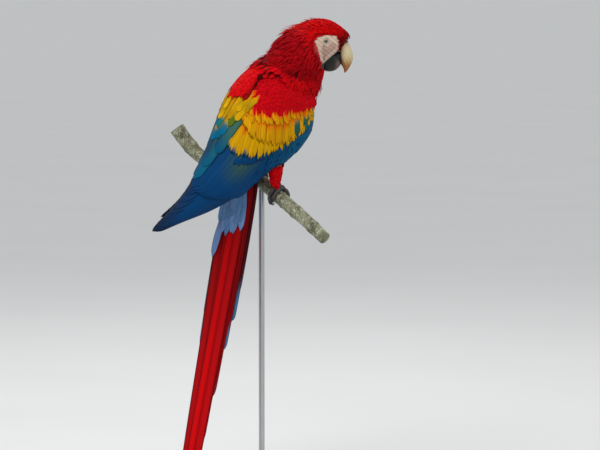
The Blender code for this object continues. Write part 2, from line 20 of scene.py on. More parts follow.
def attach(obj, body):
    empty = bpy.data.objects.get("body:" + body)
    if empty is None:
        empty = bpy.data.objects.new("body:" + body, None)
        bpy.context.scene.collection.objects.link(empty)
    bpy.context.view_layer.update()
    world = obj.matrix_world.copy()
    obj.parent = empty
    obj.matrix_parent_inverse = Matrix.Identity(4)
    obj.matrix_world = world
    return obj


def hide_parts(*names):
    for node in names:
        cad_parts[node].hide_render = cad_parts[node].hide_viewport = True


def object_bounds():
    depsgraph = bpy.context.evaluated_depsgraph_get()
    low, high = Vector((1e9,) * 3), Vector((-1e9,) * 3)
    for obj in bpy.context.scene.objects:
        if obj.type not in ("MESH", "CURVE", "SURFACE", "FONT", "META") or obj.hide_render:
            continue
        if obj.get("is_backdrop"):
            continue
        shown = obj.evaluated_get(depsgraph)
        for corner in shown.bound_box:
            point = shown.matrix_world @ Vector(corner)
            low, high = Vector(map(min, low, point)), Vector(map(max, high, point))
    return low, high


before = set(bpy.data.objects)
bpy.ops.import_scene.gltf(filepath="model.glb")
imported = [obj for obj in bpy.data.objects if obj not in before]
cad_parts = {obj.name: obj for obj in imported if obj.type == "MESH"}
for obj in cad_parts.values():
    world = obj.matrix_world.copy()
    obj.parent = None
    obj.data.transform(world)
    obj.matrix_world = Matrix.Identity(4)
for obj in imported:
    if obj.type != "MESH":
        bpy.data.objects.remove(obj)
cad_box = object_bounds()
print("solids:", len(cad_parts))

# %% [markdown]
# ## Measures on the bird
# A bird is easier to measure in its own directions than in the room's. Every place is given in
# centimetres as (forward, left, up), counted from a point close to the perch between the feet, and one
# function turns whole arrays of such places into metres in the room. The head has its own directions
# too, because it looks over the right shoulder.

# %% The bird's own directions
CM = 0.01
PERCH_HEIGHT = 62.5
BASE_FORWARD = -5.0
HEAD_CENTRE = np.array((10.0, -3.2, 28.6))
HEAD_TURN = -35.0
HEAD_NOD = -3.0
dice = np.random.default_rng(11)


def room(places):
    """Places on the bird, (forward, left, up) in cm, as points of the room in metres."""
    places = np.asarray(places, float)
    forward, left, up = places[..., 0], places[..., 1], places[..., 2]
    return np.stack((left, BASE_FORWARD - forward, up + PERCH_HEIGHT), axis=-1) * CM


def bird(points):
    """Points of the room in metres, as places on the bird in cm."""
    points = np.asarray(points, float) / CM
    x, y, z = points[..., 0], points[..., 1], points[..., 2]
    return np.stack((BASE_FORWARD - y, x, z - PERCH_HEIGHT), axis=-1)


nod = Matrix.Rotation(math.radians(-HEAD_NOD), 3, "Y")
turn = Matrix.Rotation(math.radians(HEAD_TURN), 3, "Z") @ nod
HEAD_AXES = np.array([turn @ Vector(axis) for axis in ((1, 0, 0), (0, 1, 0), (0, 0, 1))])


def room_way(ways):
    """A direction on the bird as a direction in the room."""
    return np.stack((ways[..., 1], -ways[..., 0], ways[..., 2]), axis=-1)


def bird_way(ways):
    """A direction in the room as a direction on the bird."""
    return np.stack((-ways[..., 1], ways[..., 0], ways[..., 2]), axis=-1)


def on_head(places):
    """Places in the head's own (forward, left, up), as places on the bird."""
    return HEAD_CENTRE + np.asarray(places, float) @ HEAD_AXES


def head_own(places):
    """Places on the bird in the head's own (forward, left, up)."""
    return (np.asarray(places, float) - HEAD_CENTRE) @ HEAD_AXES.T


EYE_PLACE = (1.5, 3.12, 1.05)  # the left eye, in the head's own cm
print("eye, on the bird:", on_head(EYE_PLACE).round(2))

# %% Smooth curves through a few measures


def smooth_curve(stations, x):
    """A smooth curve through (x, value) stations, held flat past both ends, read at an array x."""
    xs, ys = (np.array(column, float) for column in zip(*stations))
    x = np.clip(np.asarray(x, float), xs[0], xs[-1])
    k = np.clip(np.searchsorted(xs, x, side="right") - 1, 0, len(xs) - 2)
    slopes = np.empty(len(xs))
    slopes[1:-1] = (ys[2:] - ys[:-2]) / (xs[2:] - xs[:-2])
    slopes[0] = (ys[1] - ys[0]) / (xs[1] - xs[0])
    slopes[-1] = (ys[-1] - ys[-2]) / (xs[-1] - xs[-2])
    wide = xs[k + 1] - xs[k]
    t = (x - xs[k]) / wide
    return (
        (2 * t**3 - 3 * t**2 + 1) * ys[k]
        + (t**3 - 2 * t**2 + t) * wide * slopes[k]
        + (3 * t**2 - 2 * t**3) * ys[k + 1]
        + (t**3 - t**2) * wide * slopes[k + 1]
    )


def ease(x, start, end):
    """0 before start, 1 after end, and smooth between."""
    t = np.clip((np.asarray(x, float) - start) / (end - start), 0, 1)
    return t * t * (3 - 2 * t)


# %% [markdown]
# ## Colours of the plumage
# A scarlet macaw is red on head and body, yellow on the middle of the wing, blue on the flight feathers,
# and pale blue over the root of the tail. Colours are chosen as screen values and turned into the linear
# ones that light is worked out with. They are kept on the mesh as an attribute named Tint, so that skin
# and coat can share them, and no picture is needed.

# %% The palette


def paint(red, green, blue):
    """A screen colour, 0 to 255 each, as a linear one."""
    screen = np.array((red, green, blue), float) / 255
    return np.where(screen <= 0.04045, screen / 12.92, ((screen + 0.055) / 1.055) ** 2.4)


SCARLET = paint(212, 2, 8)
CRIMSON = paint(190, 0, 16)
DEEP_RED = paint(120, 2, 12)
ORANGE = paint(236, 92, 8)
YELLOW = paint(214, 162, 0)
OCHRE = paint(184, 136, 0)
OLIVE = paint(92, 112, 24)
SEA_GREEN = paint(18, 112, 112)
SEA_BLUE = paint(0, 96, 130)
DEEP_BLUE = paint(0, 60, 108)
VIOLET = paint(14, 44, 84)
SLATE = paint(50, 46, 56)
PALE_BLUE = paint(104, 148, 200)
MAROON = paint(84, 18, 24)
FACE_CREAM = paint(208, 184, 162)


def mix(first, second, share):
    """The first colour where share is 0 and the second where it is 1. share may be an array."""
    share = np.asarray(share, float)[..., None]
    return first * (1 - share) + second * share


# %% [markdown]
# ## One vane
# A contour feather is a stiff shaft with a soft blade on each side. At this size it is a thin leaf,
# thicker along the shaft and closed at the rim. It could be a flat card, but a card shows a hard edge and
# has no inside, so a grid is shaped into the outline, copied as an underside, and both are merged at the
# rim. A few notches at the tip make the barbs look loose. A small vane has only a few dozen faces, because
# it is repeated thousands of times, and a long quill a few hundred.

# %% Shape a vane
ROUND_TIP = ((0.0, 0.14), (0.12, 0.5), (0.3, 0.86), (0.55, 1.0), (0.78, 0.94), (0.92, 0.72), (1.0, 0.36))
LANCE_TIP = ((0.0, 0.14), (0.15, 0.6), (0.35, 1.0), (0.6, 0.88), (0.8, 0.56), (0.93, 0.3), (1.0, 0.08))
QUILL_TIP = (
    (0.0, 0.12), (0.05, 0.5), (0.18, 0.92), (0.6, 1.0),
    (0.88, 0.96), (0.95, 0.82), (0.985, 0.56), (1.0, 0.22),
)
TAIL_TIP = (
    (0.0, 0.2), (0.04, 0.7), (0.12, 0.96), (0.6, 1.0),
    (0.94, 0.97), (0.975, 0.84), (0.992, 0.55), (1.0, 0.2),
)
BLUNT_TIP = ((0.0, 0.2), (0.15, 0.72), (0.45, 1.0), (0.7, 0.95), (0.88, 0.74), (0.96, 0.5), (1.0, 0.16))


def make_vane(outline, columns, rows, notch, sweep=0.16):
    """A closed leaf on a unit scale: u across from -1 to 1, v along from 0 to 1, and z through it. The
    outline is (v, half width). notch is how far every other column reaches past its neighbours at the
    tip, and sweep is how far the edges fall short of the shaft."""
    bm = bmesh.new()
    bmesh.ops.create_grid(bm, x_segments=columns, y_segments=rows, size=0.5)
    both = bmesh.ops.duplicate(bm, geom=bm.verts[:] + bm.edges[:] + bm.faces[:])["geom"]
    under = {v for v in both if isinstance(v, bmesh.types.BMVert)}
    bmesh.ops.reverse_faces(bm, faces=[f for f in both if isinstance(f, bmesh.types.BMFace)])
    for vert in bm.verts:
        across, share = vert.co.x * 2, vert.co.y + 0.5
        v = 1 - (1 - share) ** 1.35
        column = round((across + 1) / 2 * columns)
        loose = notch * (1 if column % 2 else -1) * share**6
        reach = v - sweep * across**2 * share**3 + loose
        thick = (1 - across**2) * min(1.0, 7 * share, 7 * (1 - share))
        vert.co = (across * float(smooth_curve(outline, v)), reach, -0.5 * thick if vert in under else thick)
    bmesh.ops.remove_doubles(bm, verts=bm.verts, dist=1e-5)
    bm.verts.index_update()
    places = np.array([v.co for v in bm.verts])
    faces = [[v.index for v in f.verts] for f in bm.faces]
    if bm.calc_volume(signed=True) < 0:
        faces = [face[::-1] for face in faces]
    bm.free()
    return {"u": places[:, 0], "v": places[:, 1], "z": places[:, 2], "faces": faces}


SMALL_VANE = make_vane(LANCE_TIP, 2, 5, 0.0)
COVERT_VANE = make_vane(ROUND_TIP, 4, 6, 0.03)
LANCE_VANE = make_vane(LANCE_TIP, 4, 6, 0.04)
STRIP_VANE = make_vane(ROUND_TIP, 4, 9, 0.02, 0.06)
LONG_VANE = make_vane(QUILL_TIP, 6, 30, 0.003, 0.03)
TAIL_VANE = make_vane(TAIL_TIP, 6, 40, 0.001, 0.012)
BLUNT_VANE = make_vane(BLUNT_TIP, 4, 14, 0.006, 0.05)
print("faces of a covert:", len(COVERT_VANE["faces"]), "and of a quill:", len(LONG_VANE["faces"]))

# %% [markdown]
# ## From many vanes to one mesh
# Every tract of the coat is one object. The vanes' points are worked out as arrays, a row for each
# feather, and joined in one go. Three things ride along: the Tint colour, a map named Vane that gives
# each point its distance in centimetres from the shaft and from the root, for the barbs, and the map
# OFBake, where every feather is a tiny patch at its root's place on the unwrapped skin.

# %% Join a tract of feathers
PATCH = 0.003


def vane_batch(vane, points, tints, lengths, halves, unwrap):
    """Arrays for one kind of vane: points (n, m, 3) in the room, tints (n, m, 3), and a place for each
    root on the unwrapped skin, (n, 2). The shift gives each vane barbs of its own."""
    count = len(points)
    across = vane["u"][None, :] * np.asarray(halves)[:, None]
    along = vane["v"][None, :] * np.asarray(lengths)[:, None]
    shift = (np.arange(count) * 7.37 % 61.0)[:, None]
    barbs = np.stack((across, along + shift), axis=-1)
    patch = np.stack((vane["u"], vane["v"] * 2 - 1), axis=-1) * PATCH / 2
    bake = np.asarray(unwrap)[:, None, :] + patch[None]
    return {"points": points, "tints": tints, "barbs": barbs, "bake": bake, "faces": vane["faces"]}


def place_piece(name, mesh, tints, finish, nodes):
    """Shows a mesh as one piece, with a colour for each of its points, if tints are given."""
    if tints is not None:
        rgba = np.ones((len(tints), 4))
        rgba[:, :3] = np.clip(tints, 0, 1)
        mesh.color_attributes.new("Tint", "FLOAT_COLOR", "POINT").data.foreach_set("color", rgba.ravel())
    mesh.shade_smooth()
    mesh.materials.append(finish)
    obj = bpy.data.objects.new(name, mesh)
    bpy.context.scene.collection.objects.link(obj)
    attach(obj, "root")
    if nodes:
        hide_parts(*nodes)
    return obj


def join_vanes(name, batches, finish, nodes=()):
    """One piece from many batches of vanes."""
    loops, sizes, points, tints, barbs, bakes, first = [], [], [], [], [], [], 0
    for batch in batches:
        count, many = batch["points"].shape[:2]
        flat = np.concatenate([np.array(face) for face in batch["faces"]])
        starts = first + np.arange(count) * many
        loops.append((starts[:, None] + flat[None, :]).ravel())
        sizes.append(np.tile([len(face) for face in batch["faces"]], count))
        points.append(batch["points"].reshape(-1, 3))
        tints.append(batch["tints"].reshape(-1, 3))
        barbs.append(batch["barbs"].reshape(-1, 2))
        bakes.append(batch["bake"].reshape(-1, 2))
        first += count * many
    loops, sizes, points = np.concatenate(loops), np.concatenate(sizes), np.concatenate(points)
    mesh = bpy.data.meshes.new(name)
    mesh.vertices.add(len(points))
    mesh.vertices.foreach_set("co", points.ravel())
    mesh.loops.add(len(loops))
    mesh.loops.foreach_set("vertex_index", loops.astype(np.int32))
    mesh.polygons.add(len(sizes))
    mesh.polygons.foreach_set("loop_start", (np.cumsum(sizes) - sizes).astype(np.int32))
    mesh.update(calc_edges=True)
    mesh.validate()
    for map_name, values in (("Vane", np.concatenate(barbs)), ("OFBake", np.concatenate(bakes))):
        uv = mesh.uv_layers.new(name=map_name)
        uv.data.foreach_set("uv", values[loops].ravel())
    place_piece(name, mesh, np.concatenate(tints), finish, nodes)
    vanes = sum(len(batch["points"]) for batch in batches)
    print(f"{name}: {vanes} vanes, {int((sizes - 2).sum())} triangles")


# %% [markdown]
# ## The feather finish
# A vane's barbs leave the shaft at a slant and stick together in little clumps, which is what gives
# plumage its silky streaks. The pattern could be a picture, but noise stretched along the barbs does
# it at any distance: the Vane map gives the distance from the shaft, and subtracting that from the way
# along the shaft makes slanting lines. The same pattern tints the surface a little and bumps it.

# %% Helpers for every finish


def node_of(tree, kind, **settings):
    made = tree.nodes.new(kind)
    for key, value in settings.items():
        setattr(made, key, value)
    return made


def math_node(tree, operation, first, second, third=None):
    """A Math node whose inputs are sockets or plain numbers."""
    made = node_of(tree, "ShaderNodeMath", operation=operation)
    for socket, value in zip(made.inputs, (first, second, third)):
        if isinstance(value, (int, float)):
            socket.default_value = value
        elif value is not None:
            tree.links.new(value, socket)
    return made.outputs[0]


def new_finish(name, roughness, **constants):
    """A material whose even properties are set on the shader's own sockets."""
    finish = bpy.data.materials.new(name)
    finish.use_nodes = True
    shader = finish.node_tree.nodes["Principled BSDF"]
    shader.inputs["Roughness"].default_value = roughness
    for key, value in constants.items():
        shader.inputs[key.replace("_", " ")].default_value = value
    return finish, finish.node_tree, shader


def own_places(tree, stretch=None):
    """The piece's own places in metres, as a socket, stretched if that is asked for."""
    where = node_of(tree, "ShaderNodeTexCoord").outputs["Object"]
    if stretch is None:
        return where
    mapping = node_of(tree, "ShaderNodeMapping")
    mapping.inputs["Scale"].default_value = stretch
    tree.links.new(where, mapping.inputs["Vector"])
    return mapping.outputs[0]


def texture_node(tree, kind, where, constants, **settings):
    """A texture read at a socket of places."""
    made = node_of(tree, kind, **settings)
    for key, value in constants.items():
        made.inputs[key].default_value = value
    tree.links.new(where, made.inputs["Vector"])
    return made


def tint_by(tree, shader, shade):
    """The mesh's own Tint, lighter or darker by a shade, as the base colour."""
    tint = node_of(tree, "ShaderNodeVertexColor", layer_name="Tint")
    scaled = node_of(tree, "ShaderNodeVectorMath", operation="SCALE")
    tree.links.new(tint.outputs[0], scaled.inputs[0])
    tree.links.new(shade, scaled.inputs["Scale"])
    tree.links.new(scaled.outputs[0], shader.inputs["Base Color"])


def ramp_by(tree, shader, amount, first, last, start=0.0, end=1.0):
    """A ramp from a first colour to a last as the base colour."""
    ramp = node_of(tree, "ShaderNodeValToRGB")
    for stop, colour, position in zip(ramp.color_ramp.elements, (first, last), (start, end)):
        stop.color = (*colour, 1)
        stop.position = position
    tree.links.new(amount, ramp.inputs[0])
    tree.links.new(ramp.outputs[0], shader.inputs["Base Color"])


def bump_by(tree, shader, height, strength, distance):
    """Height as bumps, with the depth of a full one in metres."""
    bump = node_of(tree, "ShaderNodeBump")
    bump.inputs["Strength"].default_value = strength
    bump.inputs["Distance"].default_value = distance
    tree.links.new(height, bump.inputs["Height"])
    tree.links.new(bump.outputs[0], shader.inputs["Normal"])


# %% Make the feather finish
BARB_SLANT = 1.3
BARBS_PER_CM = 105.0 / math.tau
SHAFT_HALF = 0.028


def feather_finish(name, roughness, sheen, streak):
    """Plumage whose streaks follow the Vane map, in cm. streak is how strong they are."""
    finish, tree, shader = new_finish(name, roughness, Specular_IOR_Level=0.06, Sheen_Weight=sheen)
    shader.inputs["Sheen Roughness"].default_value = 0.4
    barbs = node_of(tree, "ShaderNodeUVMap", uv_map="Vane")
    parts = node_of(tree, "ShaderNodeSeparateXYZ")
    tree.links.new(barbs.outputs[0], parts.inputs[0])
    from_shaft = math_node(tree, "ABSOLUTE", parts.outputs[0], None)
    slant = math_node(tree, "MULTIPLY_ADD", from_shaft, -BARB_SLANT, parts.outputs[1])
    place = node_of(tree, "ShaderNodeCombineXYZ")
    tree.links.new(math_node(tree, "MULTIPLY", slant, 9.0), place.inputs[0])
    tree.links.new(math_node(tree, "MULTIPLY", parts.outputs[0], 1.1), place.inputs[1])
    uneven = {"Scale": 1.0, "Detail": 3.0, "Roughness": 0.65}
    clump = texture_node(tree, "ShaderNodeTexNoise", place.outputs[0], uneven, noise_dimensions="2D")
    clump = clump.outputs[0]
    fine = math_node(tree, "SINE", math_node(tree, "MULTIPLY", slant, BARBS_PER_CM * math.tau), None)
    shade = math_node(tree, "MULTIPLY_ADD", clump, streak, 1.0 - streak * 0.5)
    shaft = math_node(tree, "LESS_THAN", from_shaft, SHAFT_HALF)
    tint_by(tree, shader, math_node(tree, "MULTIPLY_ADD", shaft, -0.22, shade))
    height = math_node(tree, "MULTIPLY_ADD", fine, 0.12, clump)
    bump_by(tree, shader, math_node(tree, "MULTIPLY_ADD", shaft, 0.8, height), 0.55, 0.0006)
    return finish


red_plumage = feather_finish("red plumage", 0.75, 0.0, 0.4)
yellow_plumage = feather_finish("yellow plumage", 0.7, 0.0, 0.35)
blue_plumage = feather_finish("blue plumage", 0.6, 0.02, 0.45)
pale_plumage = feather_finish("pale blue plumage", 0.65, 0.0, 0.35)

# %% [markdown]
# ## The wing's chart
# A folded wing wraps the flank like a curved shield. It is easier to place feathers on a flat chart of
# that shield: one way runs back from the bend of the wing, the other up from its lower edge to the
# middle of the back. A function bends chart places round the bird, so a long quill follows the body
# without any modifier. The chart's own stretch is measured too, so that a feather keeps its real width.

# %% Bend the chart round the bird
WING_SLOPE = math.radians(33.0)
WING_BACK = np.array((-math.cos(WING_SLOPE), 0, -math.sin(WING_SLOPE)))
WING_UP = np.array((-math.sin(WING_SLOPE), 0, math.cos(WING_SLOPE)))
WING_FRONT = np.array((9.3, 0.0, 12.3))
WING_TALL = 18.0
WING_LOW_ANGLE = -45.0
WING_TOP_ANGLE = 88.5
LEFT_TUCK = 0.915  # the left wing is drawn in a little
LEFT_RAISE = 24.0  # and its lower edge lies this many degrees higher
WING_SHELL = (  # back from the front, the oval's middle, its half height and its half width
    (0.0, 6.2, 10.1, 6.8),
    (5.0, 6.4, 10.6, 7.5),
    (11.0, 5.9, 10.3, 7.6),
    (15.5, 5.3, 8.9, 7.2),
    (18.7, 4.5, 8.0, 6.8),
    (23.0, 3.2, 6.8, 6.1),
    (27.0, 2.6, 5.5, 5.3),
    (31.0, 2.4, 4.1, 4.3),
    (37.0, 2.9, 2.3, 2.9),
    (45.0, 4.0, 1.2, 1.6),
)


def shell_at(back):
    """The oval's middle, half height and half width so far back along the wing."""
    return [smooth_curve([(row[0], row[c]) for row in WING_SHELL], back) for c in (1, 2, 3)]


def chart_angle(side, tall):
    """The angle round the oval, in radians, of a chart place so high up."""
    low = WING_LOW_ANGLE + (LEFT_RAISE if side > 0 else 0.0)
    return np.radians(low + (WING_TOP_ANGLE - low) * tall / WING_TALL)


def wing_place(side, back, tall, lift):
    """Chart places as places on the bird. side is -1 for the right wing and 1 for the left."""
    along = WING_BACK * (LEFT_TUCK if side > 0 else 1)
    middle, half_tall, half_wide = shell_at(back)
    angle = chart_angle(side, tall)
    rise = middle + (half_tall + lift) * np.sin(angle)
    out = side * (half_wide + lift) * np.cos(angle)
    flat = WING_FRONT + np.asarray(back)[..., None] * along + rise[..., None] * WING_UP
    return flat + out[..., None] * np.array((0, 1, 0))


def chart_stretch(side, back, tall):
    """How many cm of the bird one chart unit up covers."""
    _, half_tall, half_wide = shell_at(back)
    angle = chart_angle(side, tall)
    per_unit = chart_angle(side, 1.0) - chart_angle(side, 0.0)
    return np.sqrt((half_tall * np.cos(angle)) ** 2 + (half_wide * np.sin(angle)) ** 2) * per_unit


def covert_slant(back, tall):
    """The way a covert points, in radians from the wing's own line: down at the bend, back behind it."""
    turned = ease(back + 0.3 * tall, 12.0, 27.0) + 0.9 * ease(tall, 10.5, 14.5)
    return np.radians(-57.0 + 54.0 * np.clip(turned, 0, 1))


print("wing stretch at the middle:", round(float(chart_stretch(-1, 11.0, 7.0)), 2))

# %% Lay vanes on the chart


def lay_on_wing(vane, side, roots, tips, halves, lifts, bow, roll, thick=0.035):
    """Points (n, m, 3) of vanes from chart roots to chart tips. lifts is (root, tip) above the shell in cm.
    bow bends a vane sideways, and roll tips one edge up over its neighbour."""
    roots, tips = np.asarray(roots, float), np.asarray(tips, float)
    u, v, z = vane["u"][None], vane["v"][None], vane["z"][None]
    step = tips - roots
    spine = roots[:, None, :] + step[:, None, :] * v[..., None]
    stretch = chart_stretch(side, spine[..., 0], spine[..., 1])
    run, rise = step[:, None, 0], step[:, None, 1] * stretch
    size = np.hypot(run, rise)
    offset = u * np.asarray(halves)[:, None] + np.asarray(bow).reshape(-1, 1) * np.sin(np.pi * v)
    back = spine[..., 0] - rise / size * offset
    tall = spine[..., 1] + run / size * offset / stretch
    low, high = (np.asarray(x, float).reshape(-1, 1) for x in lifts)
    lift = low + (high - low) * v + np.asarray(roll).reshape(-1, 1) * u + z * thick
    lift = lift - 0.05 * u**2
    return wing_place(side, back, tall, lift)


def chart_length(side, roots, tips):
    """How long vanes from these roots to these tips are, in cm."""
    roots, tips = np.asarray(roots, float), np.asarray(tips, float)
    middle = (roots + tips) / 2
    stretch = chart_stretch(side, middle[:, 0], middle[:, 1])
    return np.hypot(tips[:, 0] - roots[:, 0], (tips[:, 1] - roots[:, 1]) * stretch)


def reach_from(side, places, slants, lengths):
    """Chart places a number of cm away along a slant."""
    stretch = chart_stretch(side, places[:, 0], places[:, 1])
    step = np.stack((np.cos(slants) * lengths, np.sin(slants) * lengths / stretch), axis=-1)
    return places + step


def wing_unwrap(roots):
    """The wing's chart is the skin's unwrap there."""
    roots = np.asarray(roots, float)
    return np.stack(((roots[:, 0] + 6) / 56, (roots[:, 1] + 4) / 56), axis=-1)


def wing_batch(vane, roots, points, tints, lengths, halves):
    return vane_batch(vane, room(points), tints, lengths, halves, wing_unwrap(roots))


# %% [markdown]
# ## Flight feathers
# Ten primaries make the wing's long tip, and eleven secondaries its broad blue panel. Folded, they slide
# together like the blades of a fan: each inner feather lies over its outer neighbour, and the tertials
# over them all. Each is one long vane with its own place on the chart. They are blue outside and darker
# on the hidden inner half and at the tip.

# %% Primaries, secondaries and tertials
PRIMARIES, SECONDARIES = 10, 11
LEFT_PRIMARY_REACH = 0.98


def long_tints(count, outer, inner, tip):
    """One colour on the leading half, another on the trailing half, and a third towards the tip."""
    u, v = LONG_VANE["u"][None, :, None], LONG_VANE["v"][None, :, None]
    tone = 1 + 0.06 * dice.standard_normal((count, 1, 1))
    base = outer + (inner - outer) * ease(u, -0.1, 0.7)
    return (base + (tip - base) * ease(v, 0.72, 1.0) * 0.8) * tone


def primaries(side):
    k = np.linspace(0, 1, PRIMARIES)
    roots = np.stack((14.0 + 3 * k, 7.0 - 5.2 * k), axis=-1)
    ends = ((0, 33.0), (0.3, 38.0), (0.6, 41.6), (0.85, 43.4), (1.0, 43.0))
    reach = LEFT_PRIMARY_REACH if side > 0 else 1.0
    heights = ((0, 15.4), (0.3, 15.0), (0.6, 13.0), (0.85, 10.0), (1.0, 7.0))
    tips = np.stack((smooth_curve(ends, k) * reach, smooth_curve(heights, k)), axis=-1)
    halves = 1.55 - 0.2 * k
    lifts = (-0.62 - 0.2 * k, -0.12 - 0.3 * k)
    points = lay_on_wing(LONG_VANE, side, roots, tips, halves, lifts, -0.9 * k, 0.03)
    dark = mix(VIOLET * 0.7, SLATE * 0.3, k)[:, None]
    tints = long_tints(PRIMARIES, DEEP_BLUE, SLATE, dark)
    return wing_batch(LONG_VANE, roots, points, tints, chart_length(side, roots, tips), halves)


def secondaries(side):
    k = np.linspace(0, 1, SECONDARIES)
    roots = np.stack((np.full(SECONDARIES, 11.5), 1.6 + 9.5 * k), axis=-1)
    ends = ((0, 25.5), (0.2, 28.0), (0.5, 30.6), (0.8, 31.4), (1.0, 31.0))
    heights = ((0, 2.4), (0.2, 4.6), (0.5, 8.4), (0.8, 12.6), (1.0, 15.4))
    tips = np.stack((smooth_curve(ends, k), smooth_curve(heights, k)), axis=-1)
    halves = 1.5 + 0.3 * k
    lifts = (-0.5 + 0.2 * k, -0.3 + 0.28 * k)
    points = lay_on_wing(LONG_VANE, side, roots, tips, halves, lifts, -0.4, -0.05)
    tints = long_tints(SECONDARIES, DEEP_BLUE, DEEP_BLUE * 0.7, DEEP_BLUE * 0.8)
    green = 1 - ease(LONG_VANE["v"], 0.42, 0.8)
    near = np.clip(1 - np.abs(k - 0.62) / 0.4, 0, 1)
    tints = mix(tints, OLIVE * 0.4 + SEA_GREEN * 0.2, green[None] * near[:, None] * 0.85)
    return wing_batch(LONG_VANE, roots, points, tints, chart_length(side, roots, tips), halves)


def tertials(side):
    roots = np.array(((10.5, 15.5), (10.5, 14.6), (10.5, 13.6), (10.5, 12.4)))
    tips = np.array(((27.0, 17.2), (29.4, 16.6), (26.6, 15.9), (23.2, 14.4)))
    halves = np.array((1.7, 1.7, 1.6, 1.4))
    count = len(halves)
    lifts = (np.linspace(-0.3, -0.12, count), np.linspace(-0.02, 0.14, count))
    points = lay_on_wing(LONG_VANE, side, roots, tips, halves, lifts, 0.2, -0.04)
    tints = long_tints(count, SEA_BLUE * 0.8, DEEP_BLUE * 0.7, SEA_BLUE * 0.8)
    green = (1 - ease(LONG_VANE["v"], 0.5, 0.95))[None] * np.array((0.2, 0.3, 0.5, 0.9))[:, None]
    tints = mix(tints, OLIVE * 0.6 + SEA_GREEN * 0.35, green * 0.75)
    return wing_batch(LONG_VANE, roots, points, tints, chart_length(side, roots, tips), halves)


SIDES = ((-1, "right"), (1, "left"))
for side, word in SIDES:
    quills = [primaries(side), secondaries(side), tertials(side)]
    nodes = (f"wing_{word}_primaries", f"wing_{word}_secondaries")
    join_vanes(f"flight_feathers_{word}", quills, blue_plumage, nodes)

# %% [markdown]
# ## Coverts in rows
# Coverts roof the bases of the quills like tiles, in rows that follow the wing. The long yellow ones come
# first, tips along the border with the blue, then shorter rows further in, each over the last. Their
# bases are orange, a few have a dark or blue mark, and every one is shifted and turned a little, because
# an even edge looks like a stamped pattern.

# %% Rows of tips along a line


def along_line(line, spacing):
    """Places every so many cm along a chart line."""
    line = np.asarray(line, float)
    run = np.concatenate(((0,), np.cumsum(np.hypot(*np.diff(line, axis=0).T))))
    count = max(int(run[-1] / spacing), 2)
    where = np.linspace(0, run[-1], count)
    return np.stack([smooth_curve(list(zip(run, line[:, axis])), where) for axis in (0, 1)], axis=-1)


def covert_row(side, tips, length, half, lifts, wander, slant_of=covert_slant):
    """A row of coverts with these tips, each moved about by up to a few wanders. Returns their roots,
    lengths, half widths and points."""
    count = len(tips)
    tips = tips + dice.normal(0, wander, (count, 2))
    slants = slant_of(tips[:, 0], tips[:, 1]) + dice.normal(0, 0.05, count)
    lengths = length * dice.uniform(0.9, 1.08, count)
    roots = reach_from(side, tips, slants, -lengths)
    halves = half * dice.uniform(0.9, 1.1, count)
    lifts = (lifts[0], lifts[1] + dice.uniform(0, 0.05, count))
    points = lay_on_wing(STRIP_VANE, side, roots, tips, halves, lifts, dice.normal(0, 0.05, count), 0.03)
    return roots, lengths, halves, points


def rank(values):
    """One value for each feather, shaped so that it spreads over the feather's points and colours."""
    return np.asarray(values, float).reshape(-1, 1, 1)


def tip_tints(vane, count, base, body, tip, base_end=0.35, tip_start=0.9, spread=0.07):
    """Base colour, then body, then tip along each vane, with a tone of its own for each feather."""
    v = vane["v"][None, :, None]
    tone = 1 + spread * dice.standard_normal((count, 1, 1))
    base, body, tip = (np.broadcast_to(tint, (count, 3))[:, None, :] for tint in (base, body, tip))
    tints = base + (body - base) * ease(v, base_end - 0.22, base_end + 0.1)
    return (tints + (tip - tints) * ease(v, tip_start - 0.08, tip_start + 0.04)) * tone


# %% Yellow rows along the borders
# Borders on the chart, from the bend of the wing round to its upper edge.
YELLOW_BLUE_BORDER = (
    (1.3, 4.3), (2.5, 3.3), (4.5, 2.9), (7.2, 2.8), (9.5, 3.0), (12.2, 3.6), (14.8, 4.2),
    (17.2, 5.2), (19.2, 7.2), (20.8, 9.6), (21.2, 11.7), (20.4, 13.4),
)
MEDIAN_TIPS = (
    (1.2, 4.8), (3.5, 3.9), (6.5, 3.4), (9.7, 3.6), (13.0, 5.0),
    (15.2, 7.0), (16.3, 9.2), (16.1, 11.0), (15.5, 12.6),
)
RED_YELLOW_BORDER = (
    (0.9, 4.7), (3.5, 5.4), (6.2, 6.6), (8.2, 7.3), (9.6, 8.2),
    (11.6, 9.2), (13.2, 10.4), (13.4, 11.7), (12.6, 12.6),
)


def shifted(line, share, other):
    """A line part of the way from one border to another."""
    where = np.linspace(0, 1, 40)
    first, second = (
        np.stack([np.interp(where, np.linspace(0, 1, len(run)), run[:, axis]) for axis in (0, 1)], axis=-1)
        for run in (along_line(line, 0.2), along_line(other, 0.2))
    )
    return first * (1 - share) + second * share


